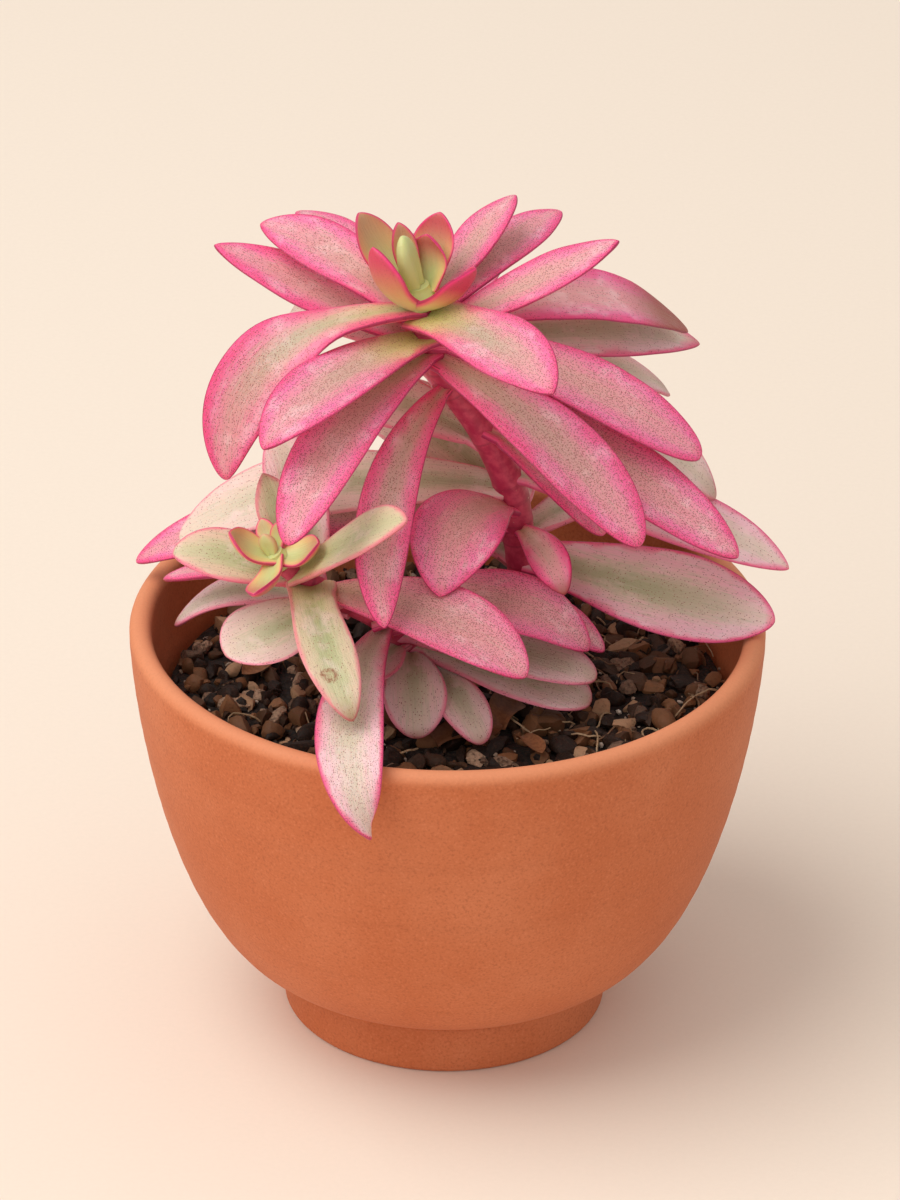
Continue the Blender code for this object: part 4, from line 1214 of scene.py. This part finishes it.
def soil_finish():
    soil = Recipe("soil_crumb")
    place = soil.place()
    crumbs = soil.cells(place, 620.0)["Distance"]
    dust = soil.cloud(place, 1600.0, 3.0, 0.7)
    patch = soil.cloud(place, 90.0, 3.0)
    colour = soil.blend(soil.fade(dust, 0.35, 0.75), SOIL_BLACK, SOIL_BROWN)
    colour = soil.blend(soil.fade(patch, 0.55, 0.8, 0.0, 0.4), colour, SOIL_PATCH)
    relief = soil.bump(dust, 0.2 * MM, soil.bump(crumbs, 0.8 * MM))
    return soil.finish(colour, relief, roughness=0.82)


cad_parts["soil"].data.materials.clear()
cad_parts["soil"].data.materials.append(soil_finish())

# %% [markdown]
# ## Grain finishes
#
# Every grain carries one mark: a number of its own, from 0 to 1. The bark finish uses it to pick a brown,
# from nearly black to the tan of dry bark, and the pumice finish picks a dull brown or a tan. A little
# noise breaks each grain's colour, and pits in the relief tell stone from bark.

# %% Bark and pumice
BARK_DARK = srgb(40, 24, 15)
BARK_BROWN = srgb(140, 94, 60)
BARK_TAN = srgb(184, 144, 110)
BARK_DUST = srgb(96, 66, 45)
STONE_BROWN = srgb(100, 74, 57)
STONE_TAN = srgb(186, 150, 122)
STONE_PIT = srgb(62, 42, 30)


def bark_finish():
    bark = Recipe("bark_crumb")
    _, shade, _, _ = bark.marks("grain")
    fine = bark.cloud(bark.place(), 1500.0, 3.0, 0.7)
    colour = bark.blend(bark.fade(shade, 0.25, 1.0), BARK_DARK, BARK_BROWN)
    colour = bark.blend(bark.fade(shade, 0.86, 1.0), colour, BARK_TAN)
    colour = bark.blend(bark.fade(fine, 0.48, 0.8, 0.0, 0.55), colour, BARK_DUST)
    return bark.finish(colour, bark.bump(fine, 0.2 * MM), roughness=0.6, shine=0.3)


def pumice_finish():
    stone = Recipe("pumice_stone")
    _, shade, _, _ = stone.marks("grain")
    place = stone.place()
    fine = stone.cloud(place, 1300.0, 3.0, 0.7)
    pits = stone.cells(place, 1400.0)["Distance"]
    colour = stone.blend(shade, STONE_BROWN, STONE_TAN)
    colour = stone.blend(stone.fade(fine, 0.45, 0.72, 0.0, 0.8), colour, STONE_PIT)
    relief = stone.bump(fine, 0.12 * MM, stone.bump(pits, 0.3 * MM))
    return stone.finish(colour, relief, roughness=0.85)


bark_skin = bark_finish()
pumice_skin = pumice_finish()
print("grain finishes:", bark_skin.name, pumice_skin.name)

# %% Perlite, fibres and dead leaves
DRY_ROUGHNESS = 0.6


def pale_finish(name, low, high):
    """A plain dry finish between two colours, picked by each grain's own number."""
    pale = Recipe(name)
    _, shade, _, _ = pale.marks("grain")
    fine = pale.cloud(pale.place(), 1800.0, 2.0)
    share = pale.times(shade, pale.fade(fine, 0.3, 0.7, 0.5, 1.0))
    return pale.finish(pale.blend(share, low, high), roughness=DRY_ROUGHNESS)


perlite_skin = pale_finish("perlite_speck", srgb(150, 122, 98), srgb(230, 218, 202))
fibre_skin = pale_finish("dry_fibre", srgb(120, 86, 58), srgb(206, 176, 136))
scrap_skin = pale_finish("dead_leaf", srgb(92, 50, 28), srgb(176, 116, 70))
print("dry finishes:", perlite_skin.name, fibre_skin.name, scrap_skin.name)

# %% [markdown]
# ## Loose grains
#
# A seeded draw scatters the grains, so every run gives the same soil. The frame's own lumps were drawn in
# the same way, and the draw is repeated here first, so that each of them is covered by a finer stone.

# %% The soil's surface
SOIL_LEVEL = 65.6
SOIL_MOUND = 1.2
SOIL_RELIEF = 0.75
LUMP_SPAN = 3.4
CRUMB_SPAN = 1.0


def soil_top(x, y):
    """Level of the soil's surface, as the frame has it."""
    mound = SOIL_MOUND * (1.0 - (math.hypot(x, y) / RIM_RADIUS) ** 2)
    lumps = math.sin(x / LUMP_SPAN + 0.9) * math.sin(y / LUMP_SPAN - 0.4)
    crumbs = math.sin((x - 0.6 * y) / CRUMB_SPAN) * math.sin((0.7 * x + y) / CRUMB_SPAN + 1.3)
    return SOIL_LEVEL + mound + SOIL_RELIEF * (0.5 * lumps + 0.5 * crumbs)


def at_a_stem(x, y, gap, radii=1.0):
    """Whether a place is closer to a stem's foot than its radius, counted so many times, and a gap."""
    feet = [line[0] for line in STEMS.values()]
    return any(math.hypot(x - foot[0], y - foot[1]) < radii * foot[3] + gap for foot in feet)


print("soil in the bowl's middle:", round(soil_top(0.0, 0.0), 1), "mm")

# %% One broken grain
FLAT_CUTS = 7
CUT_DEPTHS = (0.35, 0.8)
GRAIN_LENGTHS = (0.9, 1.6)
GRAIN_WIDTHS = (0.6, 1.1)
GRAIN_FLATNESS = 0.75
GRAIN_LEAN = 0.5
COVER_FLATS = 9
COVER_FLATNESS = 0.85


def ball(detail):
    """Points and faces of a ball of triangles."""
    bm = bmesh.new()
    bmesh.ops.create_icosphere(bm, subdivisions=detail, radius=1.0)
    bm.verts.ensure_lookup_table()
    found = np.array([vert.co[:] for vert in bm.verts]), [tuple(v.index for v in f.verts) for f in bm.faces]
    bm.free()
    return found


SPECK_BALL, GRAIN_BALL, STONE_BALL = (ball(detail) for detail in (1, 2, 3))


def grain_form(draw, centre, size, shape, flatness=GRAIN_FLATNESS, flats=FLAT_CUTS):
    """One broken grain: a ball with flats cut from it, squashed and turned by the draw."""
    points, faces = shape
    points = points.copy()
    for _ in range(flats):
        way = draw.normal(size=3)
        way /= np.linalg.norm(way)
        over = np.maximum(points @ way - draw.uniform(*CUT_DEPTHS), 0.0)
        points -= over[:, None] * way
    spans = (GRAIN_LENGTHS, GRAIN_WIDTHS, (flatness, 1.0))
    points *= size * np.array([draw.uniform(*span) for span in spans])
    heading, lean = draw.uniform(0, math.tau), draw.uniform(-GRAIN_LEAN, GRAIN_LEAN)
    turn = Matrix.Rotation(heading, 3, "Z") @ Matrix.Rotation(lean, 3, "X")
    points = points @ np.array(turn).T + np.array(centre)
    shade = (float(draw.uniform()), 0.0, 0.0)
    return points.tolist(), faces, {"grain": [shade] * len(points)}


def round_grain(draw, centre, size):
    """A larger, rounder and finer grain."""
    return grain_form(draw, centre, size, STONE_BALL, COVER_FLATNESS, COVER_FLATS)


print("points in a speck, a grain and a stone:", *(len(b[0]) for b in (SPECK_BALL, GRAIN_BALL, STONE_BALL)))

# %% The frame's own lumps
LUMP_SEED = 11
LUMPS = 66
LUMP_SIZES = (1.3, 2.6)
LUMP_RISE = 0.1
GRAIN_REACH = 50.0
STEM_CLEARANCE = 6.5
# What the CAD draws besides: three stretches and two turns of a lump, then a bump for each corner
SHAPE_DRAWS = 5
CORNER_DRAWS = 12


def cad_grains():
    """Places and sizes of the frame's own lumps, passing over what else the CAD draws for each."""
    chance = random.Random(LUMP_SEED)
    found = []
    for _ in range(LUMPS):
        reach = GRAIN_REACH * math.sqrt(chance.random())
        turn = math.tau * chance.random()
        size = chance.uniform(*LUMP_SIZES)
        for _ in range(SHAPE_DRAWS):
            chance.random()
        x, y = reach * math.cos(turn), reach * math.sin(turn)
        if at_a_stem(x, y, STEM_CLEARANCE, 0.0):
            continue
        for _ in range(CORNER_DRAWS):
            chance.random()
        found.append((x, y, soil_top(x, y) + LUMP_RISE * size, size))
    return found


over_lumps = cad_grains()
print(len(over_lumps), "lumps in the frame's soil")

# %% Scatter the grains
SOIL_SEED = 5
SCATTER_REACH = 53.2
COVER_SIZE = 1.18
BIG_STONE = (-49.0, 10.0)
BIG_STONE_SIZE = 2.9
BIG_STONE_RISE = 1.2
GRAIN_CREASE = 32.0
# Each strewn sort: how many, the smallest and largest size, its rise out of the soil, and its ball
STREWN_STONES = (110, (0.8, 2.9), 0.35, GRAIN_BALL)
STREWN_CLODS = (1500, (0.5, 3.0), 0.35, GRAIN_BALL)
STREWN_SPECKS = (620, (0.22, 0.7), 0.9, SPECK_BALL)


def scattered(draw, count, sizes, rise, shape):
    """Grains spread evenly over the soil, each raised out of it by a share of its size."""
    forms = []
    for _ in range(count):
        size = sizes[0] + (sizes[1] - sizes[0]) * draw.uniform() ** 2
        far = (SCATTER_REACH - size) * math.sqrt(draw.uniform())
        turn = draw.uniform(0, math.tau)
        x, y = far * math.cos(turn), far * math.sin(turn)
        if at_a_stem(x, y, size):
            continue
        forms.append(grain_form(draw, (x, y, soil_top(x, y) + rise * size), size, shape))
    return forms


draw = np.random.default_rng(SOIL_SEED)
stones = [round_grain(draw, (x, y, z), COVER_SIZE * size) for x, y, z, size in over_lumps[::2]]
clods = [round_grain(draw, (x, y, z), COVER_SIZE * size) for x, y, z, size in over_lumps[1::2]]
stones.append(round_grain(draw, (*BIG_STONE, soil_top(*BIG_STONE) + BIG_STONE_RISE), BIG_STONE_SIZE))
stones += scattered(draw, *STREWN_STONES)
clods += scattered(draw, *STREWN_CLODS)
specks = scattered(draw, *STREWN_SPECKS)
make_piece("pumice_stones", gather(stones), pumice_skin, sharp=GRAIN_CREASE)
make_piece("bark_crumbs", gather(clods), bark_skin, sharp=GRAIN_CREASE)
make_piece("perlite_specks", gather(specks), perlite_skin, sharp=GRAIN_CREASE)
print(len(stones), "stones,", len(clods), "crumbs,", len(specks), "specks")

# %% [markdown]
# ## Fibres and fallen leaves
#
# Thin pale fibres lie across the grains, mostly on the right, and a few dead leaves have dried to curled
# brown scraps in front of the stems. The fibres are bent tubes, and the scraps reuse the leaf's loft with
# strong bows and a papery thickness.

# %% Fibres
FIBRES = 90
FIBRE_REACH = 0.9
RIGHT_SHARE = 0.6
RIGHT_FAN = (-0.9, 1.0)
FIBRE_STEPS = 9
FIBRE_PACE = 1.1
FIBRE_LEVEL = 0.9
FIBRE_SIDES = 5
FIBRE_BEND = 0.35
FIBRE_WANDER = 0.25
FIBRE_LIFTS = (0.6, 2.2)
FIBRE_RADII = (0.10, 0.22)
UP = Vector((0.0, 0.0, 1.0))


def fibre_form(draw):
    """One bent thread that lies on the grains."""
    far = SCATTER_REACH * FIBRE_REACH * math.sqrt(draw.uniform())
    turn = draw.uniform(*RIGHT_FAN) if draw.uniform() < RIGHT_SHARE else draw.uniform(0, math.tau)
    x, y = far * math.cos(turn), far * math.sin(turn)
    heading, bend = draw.uniform(0, math.tau), draw.uniform(-FIBRE_BEND, FIBRE_BEND)
    lift, radius = draw.uniform(*FIBRE_LIFTS), draw.uniform(*FIBRE_RADII)
    turns = [math.tau * i / FIBRE_SIDES for i in range(FIBRE_SIDES)]
    rings = []
    for step in range(FIBRE_STEPS):
        x += FIBRE_PACE * math.cos(heading)
        y += FIBRE_PACE * math.sin(heading)
        heading += bend + FIBRE_WANDER * draw.normal()
        reach = math.hypot(x, y)
        if reach > SCATTER_REACH:
            x, y = x * SCATTER_REACH / reach, y * SCATTER_REACH / reach
        z = soil_top(x, y) + FIBRE_LEVEL + lift * math.sin(math.pi * step / (FIBRE_STEPS - 1))
        across = Vector((-math.sin(heading), math.cos(heading), 0.0))
        middle = Vector((x, y, z))
        rings.append([middle + radius * (math.cos(t) * across + math.sin(t) * UP) for t in turns])
    points, faces = loft(rings)
    return points, faces, {"grain": [(float(draw.uniform()), 0.0, 0.0)] * len(points)}


fibres = [fibre_form(draw) for _ in range(FIBRES)]
make_piece("soil_fibres", gather(fibres), fibre_skin)
print(len(fibres), "fibres")

# %% Dead leaves
# Where each lies, its length, heading, width and curl
SCRAPS = (
    ((-9.0, -18.0), 12.0, 2.6, 5.0, 1.5),
    ((-2.0, -22.5), 13.0, 0.3, 6.0, 2.5),
    ((9.0, -18.0), 10.0, 1.2, 6.5, 3.5),
    ((14.0, -22.0), 8.0, 5.2, 4.0, 1.5),
    ((-33.0, 8.0), 9.0, 4.0, 4.0, 1.5),
)
SCRAP_LEVEL = 1.6
SCRAP_CUP = 0.5
SCRAP_BASE = 0.6
SCRAP_THICKNESS = 0.5
SCRAP_ENDING = 0.62
SCRAP_NORMAL = Vector((0.2, -0.3, 1.0))
SCRAP_SLOPE = 0.1
CURL_NEAR = 0.3
CURL_FAR = 0.7
DIP = 0.3
FIRST_SCRAP_SEED = 70


def scrap_form(start, length, heading, width, curl, seed):
    """One dried leaf, curled up near its root and down again near its tip."""
    root = Vector((*start, soil_top(*start) + SCRAP_LEVEL))
    tip = root + length * Vector((math.cos(heading), math.sin(heading), SCRAP_SLOPE))
    line = (root, root.lerp(tip, CURL_NEAR) + curl * UP, root.lerp(tip, CURL_FAR) - DIP * curl * UP, tip)
    shape = Shape(width, SCRAP_CUP, SCRAP_BASE, SCRAP_THICKNESS, ending=SCRAP_ENDING)
    points, faces, marks = leaf_form(line, SCRAP_NORMAL, shape, (NO_MARK, NO_MARK, NO_MARK), seed)
    shade = (0.15 * (seed % 5) + 0.2, 0.0, 0.0)
    return points, faces, {**marks, "grain": [shade] * len(points)}


scraps = [scrap_form(*scrap, FIRST_SCRAP_SEED + i) for i, scrap in enumerate(SCRAPS)]
make_piece("dead_leaves", gather(scraps), scrap_skin)
print(len(scraps), "dead leaves")

# %% [markdown]
# ## Floor and light
#
# The portrait stands on a cream sheet that fills the frame, so one wide floor is enough. The light is
# soft: a big window-like lamp high at the left gives the round shadow at the right, a weaker one fills
# from the front, and a warm sky lifts the shadows. Colours are shown without a film curve, because
# a film curve would grey the hot pinks.

# %% Floor, lamps and sky
FLOOR_CREAM = srgb(244, 229, 213)
FLOOR_SHADE = srgb(240, 225, 209)
FLOOR_SIZE = 6.0
LAMP_TARGET = Vector((0.0, 0.0, 0.08))
# Each lamp's place, size, power and colour
LAMPS = {
    "window_lamp": ((-0.92, -0.35, 1.7), 1.7, 25.0, (1.0, 0.98, 0.95)),
    "front_lamp": ((-0.9, -1.5, 0.9), 1.3, 3.4, (1.0, 0.98, 0.97)),
}
SKY_COLOUR = (1.0, 0.985, 0.965, 1.0)
SKY_STRENGTH = 0.61


def add_floor():
    bpy.ops.mesh.primitive_plane_add(size=FLOOR_SIZE, location=(0.0, 0.0, 0.0))
    floor = bpy.context.object
    floor.name = "cream_floor"
    sheet = Recipe("cream_sheet")
    colour = sheet.blend(sheet.cloud(sheet.place(), 900.0, 2.0), FLOOR_CREAM, FLOOR_SHADE)
    floor.data.materials.append(sheet.finish(colour, roughness=0.9, shine=0.1))


def add_lamp(name, place, size, power, colour):
    light = bpy.data.lights.new(name, "AREA")
    light.shape = "DISK"
    light.size = size
    light.energy = power
    light.color = colour
    lamp = bpy.data.objects.new(name, light)
    lamp.location = place
    lamp.rotation_euler = (LAMP_TARGET - Vector(place)).to_track_quat("-Z", "Y").to_euler()
    bpy.context.scene.collection.objects.link(lamp)


def add_sky():
    world = bpy.data.worlds.new("warm_sky")
    world.use_nodes = True
    world.node_tree.nodes["Background"].inputs[0].default_value = SKY_COLOUR
    world.node_tree.nodes["Background"].inputs[1].default_value = SKY_STRENGTH
    bpy.context.scene.world = world


add_floor()
for lamp_name, lamp_row in LAMPS.items():
    add_lamp(lamp_name, *lamp_row)
add_sky()
bpy.context.scene.view_settings.view_transform = "Standard"
